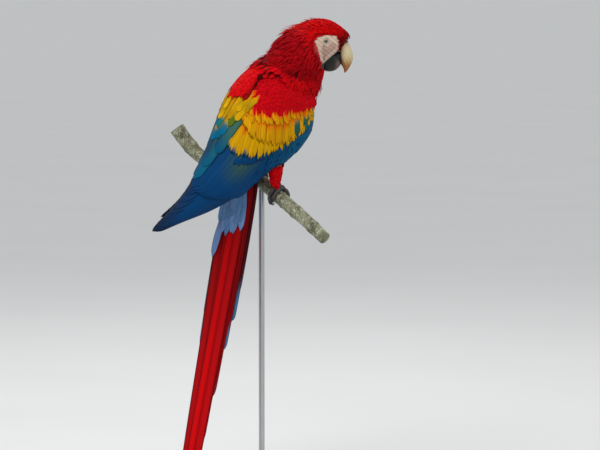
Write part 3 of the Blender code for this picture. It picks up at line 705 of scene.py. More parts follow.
def yellow_rows(side):
    batches = []
    upper = shifted(MEDIAN_TIPS, 0.72, RED_YELLOW_BORDER)
    rows = (  # tips, length, half width, root and tip lift, wander
        (YELLOW_BLUE_BORDER, 7.0, 0.56, (-0.2, 0.05), 0.16),
        (MEDIAN_TIPS, 6.2, 0.52, (-0.1, 0.1), 0.12),
        (upper, 3.6, 0.46, (0.0, 0.13), 0.22),
    )
    for number, (line, length, half, lifts, wander) in enumerate(rows):
        tips = along_line(line, 0.52)
        length = length * (0.36 + 0.64 * ease(tips[:, 0], 0.5, 9.0))
        roots, lengths, halves, points = covert_row(side, tips, length, half, lifts, wander)
        count = len(roots)
        body = mix(YELLOW, OCHRE, dice.uniform(0, 0.8, count))
        body = mix(body, ORANGE, dice.uniform(0, 0.16, count) * (number + 0.3))
        tip = body * 1.03
        tip_start = np.full(count, 0.93)
        near_edge = (tips[:, 0] < 8.0) & (dice.random(count) < 0.5)
        if number < 2:
            tip_start = np.where(near_edge, 0.55, tip_start)
            tip = np.where(near_edge[:, None], SEA_GREEN * 0.5 + OLIVE * 0.15, tip)
        if number == 0:
            sea = (dice.random(count) < 0.3) & ~near_edge
            tip = np.where(sea[:, None], SEA_GREEN * 0.5 + OLIVE * 0.5, tip)
            blue_tips = np.isin(np.arange(count), (count - 6, count - 7, count - 11, count - 12))
            tip = np.where(blue_tips[:, None], DEEP_BLUE, tip)
            tip_start = np.where(blue_tips, 0.87, tip_start)
        elif number == 1:
            marked = (dice.random(count) < 0.75) & (tips[:, 0] > 9.0)
            tip_start = np.where(marked, 0.985, tip_start)
            tip = np.where(marked[:, None], OLIVE * 0.08, tip)
        base = mix(ORANGE, SCARLET, dice.uniform(0.0, 0.35, count) + 0.1 * number)
        base_end = 0.34 + 0.16 * number + dice.normal(0, 0.04, count)
        tints = tip_tints(STRIP_VANE, count, base, body, tip, rank(base_end), rank(tip_start), 0.05)
        batches.append(wing_batch(STRIP_VANE, roots, points, tints, lengths, halves))
    return batches


for side, word in SIDES:
    nodes = (f"wing_{word}_coverts",)
    join_vanes(f"yellow_coverts_{word}", yellow_rows(side), yellow_plumage, nodes)

# %% [markdown]
# ## The blue leading edge
# Along the wing's lower edge lie the blue primary coverts and the small stiff feathers of the thumb. They
# turn round the bend of the wing and then point straight back, and they are sea green where they meet the
# yellow. One row behind the yellow belongs with them by its colour.

# %% Blue coverts along the lower edge


def edge_slant(back, _):
    """Along the wing's lower edge: round the bend of the wing, then straight back."""
    return np.radians(np.interp(back, (0.0, 3.0, 6.0, 9.0, 14.0), (-62.0, -50.0, -26.0, -10.0, -3.0)))


def edge_rows(side):
    batches = []
    rows = (  # chart line of the tips, length, half width, root and tip lift
        (((12.0, 0.1), (16.0, 0.4), (20.0, 0.6), (23.5, 1.4)), 7.0, 0.85, (-0.6, -0.36)),
        (((16.5, 4.0), (19.6, 5.8), (22.0, 8.4), (22.8, 11.2), (22.2, 13.6)), 6.0, 0.85, (-0.42, -0.2)),
        (((8.0, 0.0), (12.0, 0.4), (16.0, 1.4), (19.0, 2.8)), 5.6, 0.75, (-0.5, -0.26)),
        (((5.4, 0.9), (8.0, 0.8), (12.0, 1.4), (16.0, 2.9)), 4.8, 0.68, (-0.42, -0.2)),
        (((3.6, 2.1), (5.6, 1.6), (9.0, 2.0), (12.5, 2.6), (16.5, 4.2)), 4.2, 0.6, (-0.36, -0.16)),
        (((2.5, 3.2), (4.2, 2.4), (7.0, 2.3), (10.5, 2.7), (14.0, 3.6)), 3.4, 0.55, (-0.3, -0.12)),
        (((1.8, 4.0), (3.2, 3.0), (5.5, 2.7), (9.0, 2.9), (12.0, 3.3)), 2.8, 0.48, (-0.24, -0.09)),
    )
    for number, (line, length, half, lifts) in enumerate(rows):
        tips = along_line(line, 0.6)
        behind_yellow = number == 1
        slant_of = covert_slant if behind_yellow else edge_slant
        roots, lengths, halves, points = covert_row(side, tips, length, half, lifts, 0.1, slant_of)
        count = len(roots)
        body = mix(SEA_BLUE, DEEP_BLUE, np.clip(tips[:, 0] / 20 + dice.normal(0, 0.1, count), 0, 1))
        green = np.clip((tips[:, 1] - 2.0) / 2.0, 0, 1) * np.clip(1.6 - tips[:, 0] / 14, 0.25, 1)
        base = mix(body, SEA_GREEN * 0.8, green)
        if behind_yellow:
            body, base = DEEP_BLUE, mix(DEEP_BLUE, OLIVE * 0.6, 0.6)
        tints = tip_tints(STRIP_VANE, count, base, body, body * 0.94, 0.5, 0.92, 0.05)
        batches.append(wing_batch(STRIP_VANE, roots, points, tints, lengths, halves))
    return batches


for side, word in SIDES:
    join_vanes(f"edge_coverts_{word}", edge_rows(side), blue_plumage, (f"wing_{word}_edge",))

# %% [markdown]
# ## Scapulars and mantle
# From the shoulders a band of long feathers lies back over the wing's upper edge. The longest are
# yellow with rounded blue tips, and the red mantle roofs their roots. They could be part of the wing's
# rows, but they run straight back where the coverts hang down, so they get lines of their own.

# %% Scapular strips


def scapulars(side):
    strips = (  # chart root, chart tip, half width, tip lift, tip colour
        ((11.6, 17.2), (21.4, 17.6), 1.0, 0.12, SEA_BLUE),
        ((10.6, 15.4), (21.0, 16.4), 0.95, 0.16, SEA_BLUE),
        ((9.6, 14.2), (20.0, 15.3), 0.9, 0.2, SEA_BLUE),
        ((10.4, 16.6), (19.2, 17.5), 0.85, 0.24, SEA_GREEN),
        ((9.4, 17.6), (17.6, 17.9), 0.8, 0.3, YELLOW),
        ((9.0, 13.2), (18.0, 14.6), 0.8, 0.26, OLIVE),
        ((9.0, 14.4), (17.0, 15.2), 0.75, 0.3, OCHRE),
        ((8.8, 12.4), (16.2, 13.4), 0.72, 0.32, YELLOW),
        ((8.4, 13.4), (14.8, 14.2), 0.7, 0.36, YELLOW),
        ((8.4, 17.2), (15.4, 17.6), 0.7, 0.36, YELLOW),
        ((8.0, 12.2), (13.8, 12.9), 0.6, 0.3, OCHRE),
    )
    roots, tips = (np.array([row[c] for row in strips], float) for c in (0, 1))
    tips = tips + dice.normal(0, 0.15, tips.shape)
    halves = np.array([row[2] for row in strips])
    high = np.array([row[3] for row in strips])
    count = len(strips)
    bows = dice.normal(0, 0.12, count)
    points = lay_on_wing(LONG_VANE, side, roots, tips, halves, (high - 0.34, high), bows, 0.03)
    body = mix(YELLOW, OCHRE, dice.uniform(0.1, 0.8, count))
    ends = np.array([row[4] for row in strips])
    base = mix(SCARLET, ORANGE, dice.uniform(0.2, 0.6, count))
    tints = tip_tints(LONG_VANE, count, base, body, ends, 0.34, 0.78)
    v, u = LONG_VANE["v"][None, :], LONG_VANE["u"][None, :]
    green = ease(v, 0.45, 0.75) * np.clip(0.4 + 0.8 * np.abs(u), 0, 1) * dice.uniform(0.1, 0.8, (count, 1))
    tints = mix(tints, OLIVE * 0.8, green * 0.6 * (1 - ease(v, 0.8, 0.9)))
    return wing_batch(LONG_VANE, roots, points, tints, chart_length(side, roots, tips), halves)


# %% The red coverts over them


def thinned(places, gaps):
    """Which places to keep, so that each is at least its own gap from those before it. Works on 2-D or
    3-D places."""
    kept, grid = [], {}
    cell = float(np.max(gaps))
    steps = [np.array(s) for s in np.ndindex(*(3,) * places.shape[1])]
    for i in range(len(places)):
        key = np.floor(places[i] / cell).astype(int)
        near = (j for s in steps for j in grid.get(tuple(key + s - 1), ()))
        if all(np.sum((places[i] - places[j]) ** 2) > gaps[i] ** 2 for j in near):
            kept.append(i)
            grid.setdefault(tuple(key), []).append(i)
    return np.array(kept)


SEAM = np.array(  # on the chart, under the ruff and between the mantle and the wing
    ((-2.0, 8.0), (0.0, 10.6), (1.4, 12.6), (3.4, 14.5), (5.5, 15.0), (6.8, 14.9), (9.2, 14.0), (12.0, 14.9))
)


def red_coverts(side):
    """The lesser coverts and the mantle, scattered over the chart in front of the yellow. mantle is 1 above
    the seam and 0 below it."""
    tries = np.stack((dice.uniform(-1.8, 14.0, 16000), dice.uniform(3.0, 18.2, 16000)), axis=-1)
    flat = tries * np.array((1, float(chart_stretch(side, 6.0, 8.0))))
    gaps = 0.44 + 0.1 * ease(tries[:, 0], 2.0, 10.0) + 0.14 * ease(tries[:, 1], 12.0, 14.0)
    roots = tries[thinned(flat, gaps)]
    mantle = ease(roots[:, 1] - np.interp(roots[:, 0], SEAM[:, 0], SEAM[:, 1]), -0.3, 0.4)
    lengths = (1.9 + 0.08 * roots[:, 0] + 0.8 * mantle) * dice.uniform(0.88, 1.12, len(roots))
    slants = covert_slant(roots[:, 0] + 1.0, roots[:, 1]) + dice.normal(0, 0.06, len(roots))
    tips = reach_from(side, roots, slants, lengths)
    border = np.asarray(RED_YELLOW_BORDER)
    limit = np.interp(tips[:, 1], border[:, 1], np.maximum.accumulate(border[:, 0]), left=0.9, right=12.6)
    over = np.interp(tips[:, 1], (11.9, 12.4, 13.2, 15.0, 17.5), (13.4, 12.4, 11.0, 12.6, 13.8))
    limit = np.where(tips[:, 1] > 11.9, over, limit) + dice.normal(0, 0.22 + 0.4 * mantle, len(roots))
    on_wing = tips[:, 0] > 0.1 + 0.2 * np.maximum(5.2 - tips[:, 1], 0) ** 2
    on_wing &= (tips[:, 0] < limit) & (tips[:, 1] > 4.6)
    roots, tips, lengths, mantle = roots[on_wing], tips[on_wing], lengths[on_wing], mantle[on_wing]
    count = len(roots)
    halves = (0.56 + 0.06 * mantle) * dice.uniform(0.9, 1.12, count)
    low = 0.02 + 0.26 * mantle
    high = 0.11 + 0.24 * mantle + dice.uniform(0, 0.015 + 0.04 * mantle, count)
    edge_roll = dice.normal(0, 0.012, count)
    bows = dice.normal(0, 0.05, count)
    points = lay_on_wing(COVERT_VANE, side, roots, tips, halves, (low, high), bows, edge_roll, 0.015)
    body = mix(CRIMSON, SCARLET, np.clip(0.55 * mantle + dice.normal(0.15, 0.1, count), 0, 1))
    shown = roots * 0.3 + tips * 0.7
    below = np.interp(shown[:, 0], SEAM[:, 0], SEAM[:, 1]) - shown[:, 1]
    early = 1 - ease(shown[:, 0], 2.0, 5.0)
    shadow = np.exp(-(((below - 0.2 - 1.3 * early) / (0.42 + 0.9 * early)) ** 2))
    body = mix(body, DEEP_RED * 0.06, shadow * 0.95)
    tints = tip_tints(COVERT_VANE, count, mix(body, DEEP_RED, 0.15), body, body * 1.02, 0.4, 0.85, 0.035)
    return wing_batch(COVERT_VANE, roots, points, tints, lengths, halves)


for side, word in SIDES:
    nodes = (f"wing_{word}_scapulars",)
    join_vanes(f"scapulars_{word}", [scapulars(side)], yellow_plumage, nodes)
    nodes = (f"wing_{word}_shoulder",)
    join_vanes(f"red_coverts_{word}", [red_coverts(side)], red_plumage, nodes)

# %% [markdown]
# ## The body under the coat
# The flesh is one skin, from the bill to the vent, that lies inside the solids by the depth of the coat.
# It starts as the ovals that gave the solids their shape, bridged into closed lofts of the trunk and the
# head, with slimmer ones for the legs. A voxel remesh melts them into one surface, which no boolean can do
# as smoothly. Then every point moves in by the coat's depth there, and the nape a little further, because
# this bird's feathers part there.

# %% Rings of the trunk and the head
TRUNK_STATIONS = (  # up, forward, left, half width, half depth to the back and to the belly
    (0.2, -9.3, 0.0, 1.6, 1.1, 1.1),
    (3.6, -8.2, 0.0, 3.4, 2.9, 2.8),
    (7.6, -6.2, 0.0, 5.7, 5.2, 5.3),
    (12.4, -3.4, 0.0, 7.0, 7.4, 7.0),
    (17.0, -0.4, -0.2, 7.1, 7.6, 7.6),
    (20.8, 2.4, -0.6, 6.6, 8.0, 7.8),
    (24.0, 4.7, -1.4, 6.0, 7.2, 7.5),
    (26.8, 6.6, -2.3, 5.4, 6.1, 6.0),
    (29.2, 8.4, -3.0, 4.4, 4.8, 4.2),
    (31.0, 9.8, -3.2, 2.4, 2.4, 2.2),
)
HEAD_STATIONS = (  # forward, middle height, half width, half up, half down
    (-5.6, 0.6, 1.4, 1.6, 1.6),
    (-4.6, 0.5, 2.7, 3.3, 3.3),
    (-2.4, 0.3, 3.7, 4.7, 4.6),
    (0.2, 0.2, 3.95, 5.4, 4.8),
    (2.6, 0.3, 3.6, 4.9, 3.6),
    (4.6, 0.9, 2.8, 3.2, 1.9),
    (5.8, 1.4, 2.1, 1.7, 0.5),
    (6.6, 1.4, 1.2, 0.8, 0.3),
)


def unit(vectors):
    return vectors / np.maximum(np.linalg.norm(vectors, axis=-1, keepdims=True), 1e-9)


def add_loft(bm, rings, sides):
    """Bridges oval rings, each (centre, across, upward, half width, half up, half down) in bird cm."""
    loops = []
    for centre, across, upward, wide, up, down in rings:
        made = bmesh.ops.create_circle(bm, segments=sides, radius=1.0)["verts"]
        for vert in made:
            rise = vert.co.y * (up if vert.co.y > 0 else down)
            vert.co = room(centre + across * vert.co.x * wide + upward * rise)
        loops.append(list({e for v in made for e in v.link_edges}))
    for first, second in zip(loops, loops[1:]):
        bmesh.ops.bridge_loops(bm, edges=first + second)
    for end in (loops[0], loops[-1]):
        bmesh.ops.contextual_create(bm, geom=end)
    bmesh.ops.recalc_face_normals(bm, faces=bm.faces)


def columns_of(stations):
    """Each column of a table after its first, paired with the first for smooth_curve."""
    return [[(row[0], row[c]) for row in stations] for c in range(1, len(stations[0]))]


def trunk_line(up):
    """The body's middle at a height, or at an array of them."""
    forward, left = (smooth_curve(c, up) for c in columns_of(TRUNK_STATIONS)[:2])
    return np.stack((forward, left, np.asarray(up, float)), axis=-1)


def trunk_rings(count):
    low, high = TRUNK_STATIONS[0][0], TRUNK_STATIONS[-1][0]
    rings = []
    for up in np.linspace(low, high, count):
        wide, back, belly = (float(smooth_curve(c, up)) for c in columns_of(TRUNK_STATIONS)[2:])
        ahead = trunk_line(min(up + 0.6, high)) - trunk_line(max(up - 0.6, low))
        across = unit(np.cross(ahead, (-1, 0, 1)))
        upward = unit(np.cross(across, ahead))
        if upward[0] > 0:
            across, upward = -across, -upward
        rings.append((trunk_line(up), across, upward, wide, back, belly))
    return rings


def head_rings(count):
    rings = []
    for forward in np.linspace(HEAD_STATIONS[0][0], HEAD_STATIONS[-1][0], count):
        middle, wide, up, down = (float(smooth_curve(c, forward)) for c in columns_of(HEAD_STATIONS))
        rings.append((on_head((forward, 0, middle)), HEAD_AXES[1], HEAD_AXES[2], wide, up, down))
    return rings


# %% Round rings along a path


def tube_rings(points, radii):
    """Round rings along a path, for a limb, toe or branch."""
    points = np.asarray(points, float)
    rings = []
    for i, point in enumerate(points):
        ahead = points[min(i + 1, len(points) - 1)] - points[max(i - 1, 0)]
        across = unit(np.cross(ahead, (0.13, 0.21, 1.0)))
        upward = unit(np.cross(across, ahead))
        rings.append((point, across, upward, radii[i], radii[i], radii[i]))
    return rings


def path_through(points, count):
    points = np.asarray(points, float)
    where = np.linspace(0, len(points) - 1, count)
    return np.stack([smooth_curve(list(enumerate(points[:, axis])), where) for axis in range(3)], axis=-1)


def path_at(points, heights):
    """A climbing path read at some heights."""
    return np.stack([np.interp(heights, points[:, 2], points[:, axis]) for axis in range(3)], axis=-1)


# %% The branch and the legs
PERCH_RADIUS = 1.4
PERCH_WAY = unit(np.array((0.09, -0.885, -0.457)))  # along the branch, from the left foot to the right
RIGHT_FOOT = np.array((-1.3, -5.0, -1.78))
FOOT_SPACING = 7.6
PERCH_PAST_FOOT = 15.7
ROD_BEFORE_FOOT = 5.9
branch_up = unit(np.array((0, 0, 1)) - PERCH_WAY * PERCH_WAY[2])
branch_ahead = np.cross(PERCH_WAY, branch_up)
branch_ahead = branch_ahead if branch_ahead[0] > 0 else -branch_ahead


def round_branch(foot, angle, shift, radius):
    """A place at a radius from the branch's middle line, at an angle in degrees from its top towards the
    front."""
    angle = np.radians(np.asarray(angle, float))[..., None]
    radius, shift = np.asarray(radius, float)[..., None], np.asarray(shift, float)[..., None]
    rise, ahead = radius * np.cos(angle), radius * np.sin(angle)
    return foot + PERCH_WAY * shift + branch_up * rise + branch_ahead * ahead


def foot_place(side):
    """The middle of the branch under one foot."""
    return RIGHT_FOOT if side < 0 else RIGHT_FOOT - PERCH_WAY * FOOT_SPACING


THIGH = (  # forward of the heel, share of the way in to the hip, up from the heel, radius
    (0.3, 0.0, -2.3, 0.5),
    (-0.2, 0.05, -1.3, 0.98),
    (0.1, 0.2, 0.1, 1.3),
    (0.8, 0.56, 1.8, 1.6),
    (1.15, 0.78, 2.75, 1.9),
    (1.4, 1.0, 4.6, 2.4),
)
LEG_RINGS = 20


def leg_places(side):
    """The sole, the heel and the hip of one leg."""
    sole = round_branch(foot_place(side), 0.0, 0.0, PERCH_RADIUS + 0.15)
    heel = sole + np.array((-0.9, -0.1 * side, 2.3))
    hip = np.array((heel[0] + 1.5, side * 3.0, heel[2] + 4.6))
    return sole, heel, hip


def thigh_line(side):
    """Places down the middle of the feathered leg, lowest first, and its radius at each."""
    _, heel, hip = leg_places(side)
    ahead, inward, up, radii = np.array(THIGH).T
    return heel + np.stack((ahead, inward * (hip[1] - heel[1]), up), axis=-1), radii


# %% Loft the rings and melt them into one skin
bm = bmesh.new()
add_loft(bm, trunk_rings(60), 48)
add_loft(bm, head_rings(40), 44)
for side in (-1, 1):
    middle, radii = thigh_line(side)
    heights = np.linspace(middle[2, 2], middle[-1, 2], LEG_RINGS)
    add_loft(bm, tube_rings(path_at(middle, heights), np.interp(heights, middle[:, 2], radii + 0.1)), 28)
mesh = bpy.data.meshes.new("skin")
bm.to_mesh(mesh)
bm.free()
skin = bpy.data.objects.new("skin", mesh)
bpy.context.scene.collection.objects.link(skin)
melt = skin.modifiers.new("melt", "REMESH")
melt.mode = "VOXEL"
melt.voxel_size = 0.0026
settle = skin.modifiers.new("settle", "SMOOTH")
settle.factor, settle.iterations = 0.5, 12
bpy.context.view_layer.update()
melted = bpy.data.meshes.new_from_object(skin.evaluated_get(bpy.context.evaluated_depsgraph_get()))
skin.modifiers.clear()
skin.data = melted
melted.name = "skin"
print("skin before the coat's depth:", len(melted.polygons), "faces")

# %% [markdown]
# ## The bare face
# Each cheek of a macaw is bare cream skin, crossed by rows of tiny red feathers, and the coat's edge round
# it is sharp. The patch is an outline in the head's own directions, and a signed distance to that outline
# says how bare a place is. The same number thins the coat, colours the skin and decides where the mesh
# is cut finer for the folds.

# %% The patch's outline
FACE_OUTLINE = np.array(  # (forward, up) in the head's own cm
    (
        (-0.85, 1.45), (-0.2, 2.0), (0.7, 2.25), (2.4, 2.4), (4.1, 2.2), (4.35, 0.7), (4.3, -0.6),
        (2.85, -1.9), (1.6, -3.1), (0.55, -3.9), (0.2, -3.0), (-0.2, -2.0), (-0.9, -0.9), (-1.1, 0.6),
    )
)
BODY_DEPTH, HEAD_DEPTH, WING_DEPTH, BARE_DEPTH = 0.55, 0.36, 1.05, 0.12
NAPE_HEIGHT = 27.7
NAPE_PRESS = 1.3


def inside_face(own):
    """Distance inside the bare patch, in cm: positive within it and negative outside."""
    flat = own[..., [0, 2]]
    start, end = FACE_OUTLINE, np.roll(FACE_OUTLINE, -1, axis=0)
    edge = end - start
    away = flat[..., None, :] - start
    share = np.clip((away * edge).sum(-1) / (edge**2).sum(-1), 0, 1)
    near = np.linalg.norm(away - share[..., None] * edge, axis=-1).min(-1)
    rising = (start[:, 1] > flat[..., None, 1]) != (end[:, 1] > flat[..., None, 1])
    tall = np.where(edge[:, 1] == 0, 1e-9, edge[:, 1])
    cross_at = start[:, 0] + (flat[..., None, 1] - start[:, 1]) / tall * edge[:, 0]
    inside = (rising & (flat[..., None, 0] < cross_at)).sum(-1) % 2 == 1
    side = np.abs(own[..., 1]) > 1.3
    return np.where(side, np.where(inside, near, -near), -2.0)


# %% The coat's depth


def head_share(places):
    """1 on the head and 0 on the trunk, smooth at the neck."""
    own = head_own(places)
    return 1 - ease(np.linalg.norm(own / np.array((6.2, 4.8, 5.8)), axis=-1), 0.9, 1.25)


def under_wing(places):
    """1 where the folded wing lies over the body."""
    back = (places - WING_FRONT) @ WING_BACK
    rise = (places - WING_FRONT) @ WING_UP - shell_at(back)[0]
    angle = np.degrees(np.arctan2(rise, np.abs(places[..., 1])))
    low = np.where(places[..., 1] > 0, WING_LOW_ANGLE + LEFT_RAISE, WING_LOW_ANGLE)
    front = 0.6 + 0.006 * np.maximum(angle, 0)
    return ease(back, front, front + 1.6) * ease(angle, low + 2, low + 12)


def leg_share(places):
    """1 near a leg and 0 away from both."""
    near = np.zeros(places.shape[:-1])
    for side in (-1, 1):
        _, heel, hip = leg_places(side)
        line = hip - heel
        share = np.clip((places - heel) @ line / (line @ line), 0, 1)
        gap = np.linalg.norm(places - heel - share[..., None] * line, axis=-1)
        around = 1 - ease(gap, 1.6 + share * 1.4, 2.6 + share * 1.4)
        near = np.maximum(near, around * (1 - ease(share, 0.75, 1.0)))
    return near


def coat_depth(places):
    """How deep the skin lies under the solids' surface, in cm."""
    head, own = head_share(places), head_own(places)
    depth = BODY_DEPTH * (1 - head) + HEAD_DEPTH * head
    depth = depth + (WING_DEPTH - depth) * under_wing(places) * (1 - head)
    bare = ease(inside_face(own), -0.15, 0.12)
    return depth + (BARE_DEPTH - depth) * bare


# %% Move the skin in by the coat's depth
bm = bmesh.new()
bm.from_mesh(skin.data)
centres = bird(np.array([f.calc_center_median() for f in bm.faces]))
near_face = inside_face(head_own(centres)) > -0.35
near_face &= head_share(centres) > 0.5
edges = {e for f, near in zip(list(bm.faces), near_face) if near for e in f.edges}
bmesh.ops.subdivide_edges(bm, edges=list(edges), cuts=3, use_grid_fill=True)
bmesh.ops.triangulate(bm, faces=[f for f in bm.faces if len(f.verts) > 4])
bm.normal_update()
places = bird(np.array([v.co for v in bm.verts]))
normals = np.array([v.normal for v in bm.verts])
rearward = -bird_way(normals) @ HEAD_AXES[0]
hollow = np.exp(-(((places[:, 2] - NAPE_HEIGHT) / 1.6) ** 2)) * ease(rearward, 0.0, 0.7)
depth = coat_depth(places) + NAPE_PRESS * hollow
own = head_own(places)
own_eye = np.stack([own[:, 0] - EYE_PLACE[0], own[:, 2] - EYE_PLACE[2]], axis=-1)
from_eye = np.linalg.norm(own_eye, axis=-1)
on_side = (np.abs(own[:, 1]) > 2.2) & (inside_face(own) > 0)
folds = 0.018 * np.sin(from_eye * 26.0) * ease(from_eye, 0.55, 0.8) * (1 - ease(from_eye, 1.0, 1.7))
socket = 0.16 * (1 - ease(from_eye, 0.34, 0.5))
brow = -0.07 * np.exp(-(((from_eye - 0.66) / 0.16) ** 2))
depth = depth + np.where(on_side, folds + socket + brow, 0.0)
moved = np.array([v.co for v in bm.verts]) - normals * (depth * CM)[:, None]
for vert, place in zip(bm.verts, moved):
    vert.co = place
bmesh.ops.smooth_vert(bm, verts=bm.verts, factor=0.2, use_axis_x=True, use_axis_y=True, use_axis_z=True)
bm.normal_update()
print("skin:", len(bm.faces), "faces,", int(near_face.sum()), "of them cut finer on the face")

# %% [markdown]
# ## The lie of the coat
# Feathers point away from the bill: back over the crown, down the nape and the throat, along the body to
# the vent, and down each thigh. The way at any place is worked out from the head's own directions, the
# trunk's middle line and the legs, and laid flat on the skin.

# %% Which way a feather points


def lie(places, normals):
    """The way feathers point at places on the skin."""
    own = head_own(places)
    forward, left, up = own[..., 0], own[..., 1], own[..., 2]
    forehead = ease(forward, 4.9, 6.0) * ease(up, 0.2, 1.2)
    rise = 0.18 * up - 0.2 * np.maximum(-forward, 0) - 0.3 + 1.6 * forehead
    over_head = np.stack((-np.ones_like(up), 0.05 * left, rise), axis=-1) @ HEAD_AXES
    height = places[..., 2]
    down = trunk_line(height - 0.5) - trunk_line(height + 0.5)
    down = unit(down + np.array((0, 0, -0.02)))
    down = down + normals * np.array((0, 0.25, 0))
    on_neck = ease(height, 20.5, 24.5) * ease(-(normals @ HEAD_AXES[0]), -0.7, 0.3)
    down = down + (HEAD_AXES[0] * -1.1) * on_neck[..., None]
    down = unit(down)
    way = unit(over_head) * head_share(places)[..., None] + down * (1 - head_share(places))[..., None]
    legs = leg_share(places)[..., None]
    way = way * (1 - legs) + np.array((0.05, 0.0, -1.0)) * legs
    way = way - (way * normals).sum(-1, keepdims=True) * normals
    return unit(way)


# %% Throw places on the skin
skin_tree = BVHTree.FromBMesh(bm)
bm.to_mesh(skin.data)
bm.free()
skin.data.shade_smooth()


def scatter(count):
    """Random places on the skin, with normals, spread evenly by area."""
    mesh = skin.data
    mesh.calc_loop_triangles()
    corners = np.empty(len(mesh.loop_triangles) * 3, np.int32)
    mesh.loop_triangles.foreach_get("vertices", corners)
    verts = np.empty(len(mesh.vertices) * 3)
    mesh.vertices.foreach_get("co", verts)
    a, b, c = (verts.reshape(-1, 3)[corners.reshape(-1, 3)[:, k]] for k in range(3))
    cross = np.cross(b - a, c - a)
    area = np.linalg.norm(cross, axis=1)
    pick = dice.choice(len(area), count, p=area / area.sum())
    r1, r2 = np.sqrt(dice.random(count)), dice.random(count)
    spots = (1 - r1)[:, None] * a[pick] + (r1 * (1 - r2))[:, None] * b[pick] + (r1 * r2)[:, None] * c[pick]
    return bird(spots), bird_way(unit(cross[pick])), area.sum() / 2


# %% Lay vanes on the skin


CURL_RADIUS = 6.0


def lay_on_skin(vane, roots, normals, ways, lengths, halves, lifts, loose=0.0, roll=0.0, thick=0.03):
    """Points (n, m, 3) in the room of vanes that hug the skin from their roots along its lie. Each row
    of a vane is dropped to the skin below it. lifts is (root, tip) above the skin in cm, and loose lets
    the tip stand away from it."""
    rows = np.unique(vane["v"].round(4))
    count = len(roots)
    spine = np.empty((count, len(rows), 3))
    stand = np.empty((count, len(rows), 3))
    lengths = np.asarray(lengths, float)
    steps = np.diff(np.concatenate(((0,), np.maximum(rows, 0))))
    for i in range(count):
        place, way, normal = roots[i], ways[i], normals[i]
        for j, step in enumerate(steps):
            place = place + way * (step * lengths[i])
            hit, face_way, _, _ = skin_tree.find_nearest(Vector(room(place)))
            normal = unit(normal * 0.4 + bird_way(np.array(face_way)) * 0.6)
            place = bird(np.array(hit))
            way = unit(way - (way @ normal) * normal)
            spine[i, j], stand[i, j] = place, normal
    which = np.searchsorted(rows, vane["v"].round(4))
    u, v, z = vane["u"][None], vane["v"][None], vane["z"][None]
    straight = roots[:, None, :] + ways[:, None, :] * (v * lengths[:, None])[..., None]
    loose = np.asarray(loose, float).reshape(-1, 1, 1) * ease(v, 0.25, 1.0)[..., None]
    middle = spine[:, which] * (1 - loose) + straight * loose
    normal = stand[:, which]
    across = unit(np.cross(normal, np.broadcast_to(ways[:, None, :], normal.shape)))
    wide = u * np.asarray(halves).reshape(-1, 1)
    low, high, roll = (np.asarray(x, float).reshape(-1, 1) for x in (*lifts, roll))
    lift = low + (high - low) * v + z * thick + roll * u - wide**2 / (2 * CURL_RADIUS) - 0.02 * u**2
    return room(middle + across * wide[..., None] + normal * lift[..., None])


def lay_straight(vane, roots, normals, ways, lengths, halves, lift):
    """Points (n, m, 3) in the room of straight vanes that stand where their ways point."""
    across = unit(np.cross(normals, ways))
    above = np.cross(ways, across)
    u, v, z = vane["u"][None], vane["v"][None], vane["z"][None]
    wide = u * halves[:, None]
    lift = lift + z * 0.03 - wide**2 / 3.0 - 0.05 * v**2
    middle = roots[:, None, :] + ways[:, None, :] * (v * lengths[:, None])[..., None]
    return room(middle + across[:, None] * wide[..., None] + above[:, None] * lift[..., None])


def body_unwrap(roots):
    """The trunk unrolled round its middle line, and the head round its own."""
    own = head_own(roots)
    on_trunk = roots - trunk_line(roots[:, 2])
    round_trunk = np.arctan2(on_trunk[:, 1], -on_trunk[:, 0]) / math.tau * 0.9 + 0.5
    round_head = np.arctan2(own[:, 1], own[:, 2]) / math.tau * 0.9 + 0.5
    trunk = np.stack((round_trunk, roots[:, 2] / 62 + 0.02), axis=-1)
    head = np.stack((round_head, 0.62 + (own[:, 0] + 7) / 42), axis=-1)
    return np.where((head_share(roots) > 0.5)[:, None], head, trunk)


# %% [markdown]
# ## Contour feathers
# Thousands of short feathers cover the body, small and tight by the bill and longer down the neck, where
# this bird ruffles them. Roots are thrown at random on the skin and thinned until none stand too close,
# which gives the irregular tiling of a real coat. Length, width and spacing all follow one size for each
# place, so the cover is even. Looser feathers are laid over them at the neck, and rings of straight ones
# hang round each leg.

# %% Choose the roots
BILL_TOP = ((4.2, 5.0, 5.3, 6.8), (-0.6, -0.1, 1.1, 1.1))  # forward, and how low feathers grow there
VENT_HEIGHT = 1.2


def past_gape(own):
    """True in front of the line that runs from the patch's foot up to the bill."""
    return own[..., 0] > 0.3 + (own[..., 2] + 3.9) * 1.14


def feather_length(places):
    """The usual length of a feather at places on the bird, in cm."""
    own, head = head_own(places), head_share(places)
    from_bill = np.linalg.norm(own - np.array((6.0, 0.0, 0.0)), axis=-1)
    small = 0.26 + 0.16 * from_bill
    trunk = 2.5 - 0.5 * ease(places[..., 2], 18.0, 26.0)
    size = small * head + trunk * (1 - head)
    return size * (1 - 0.42 * leg_share(places))


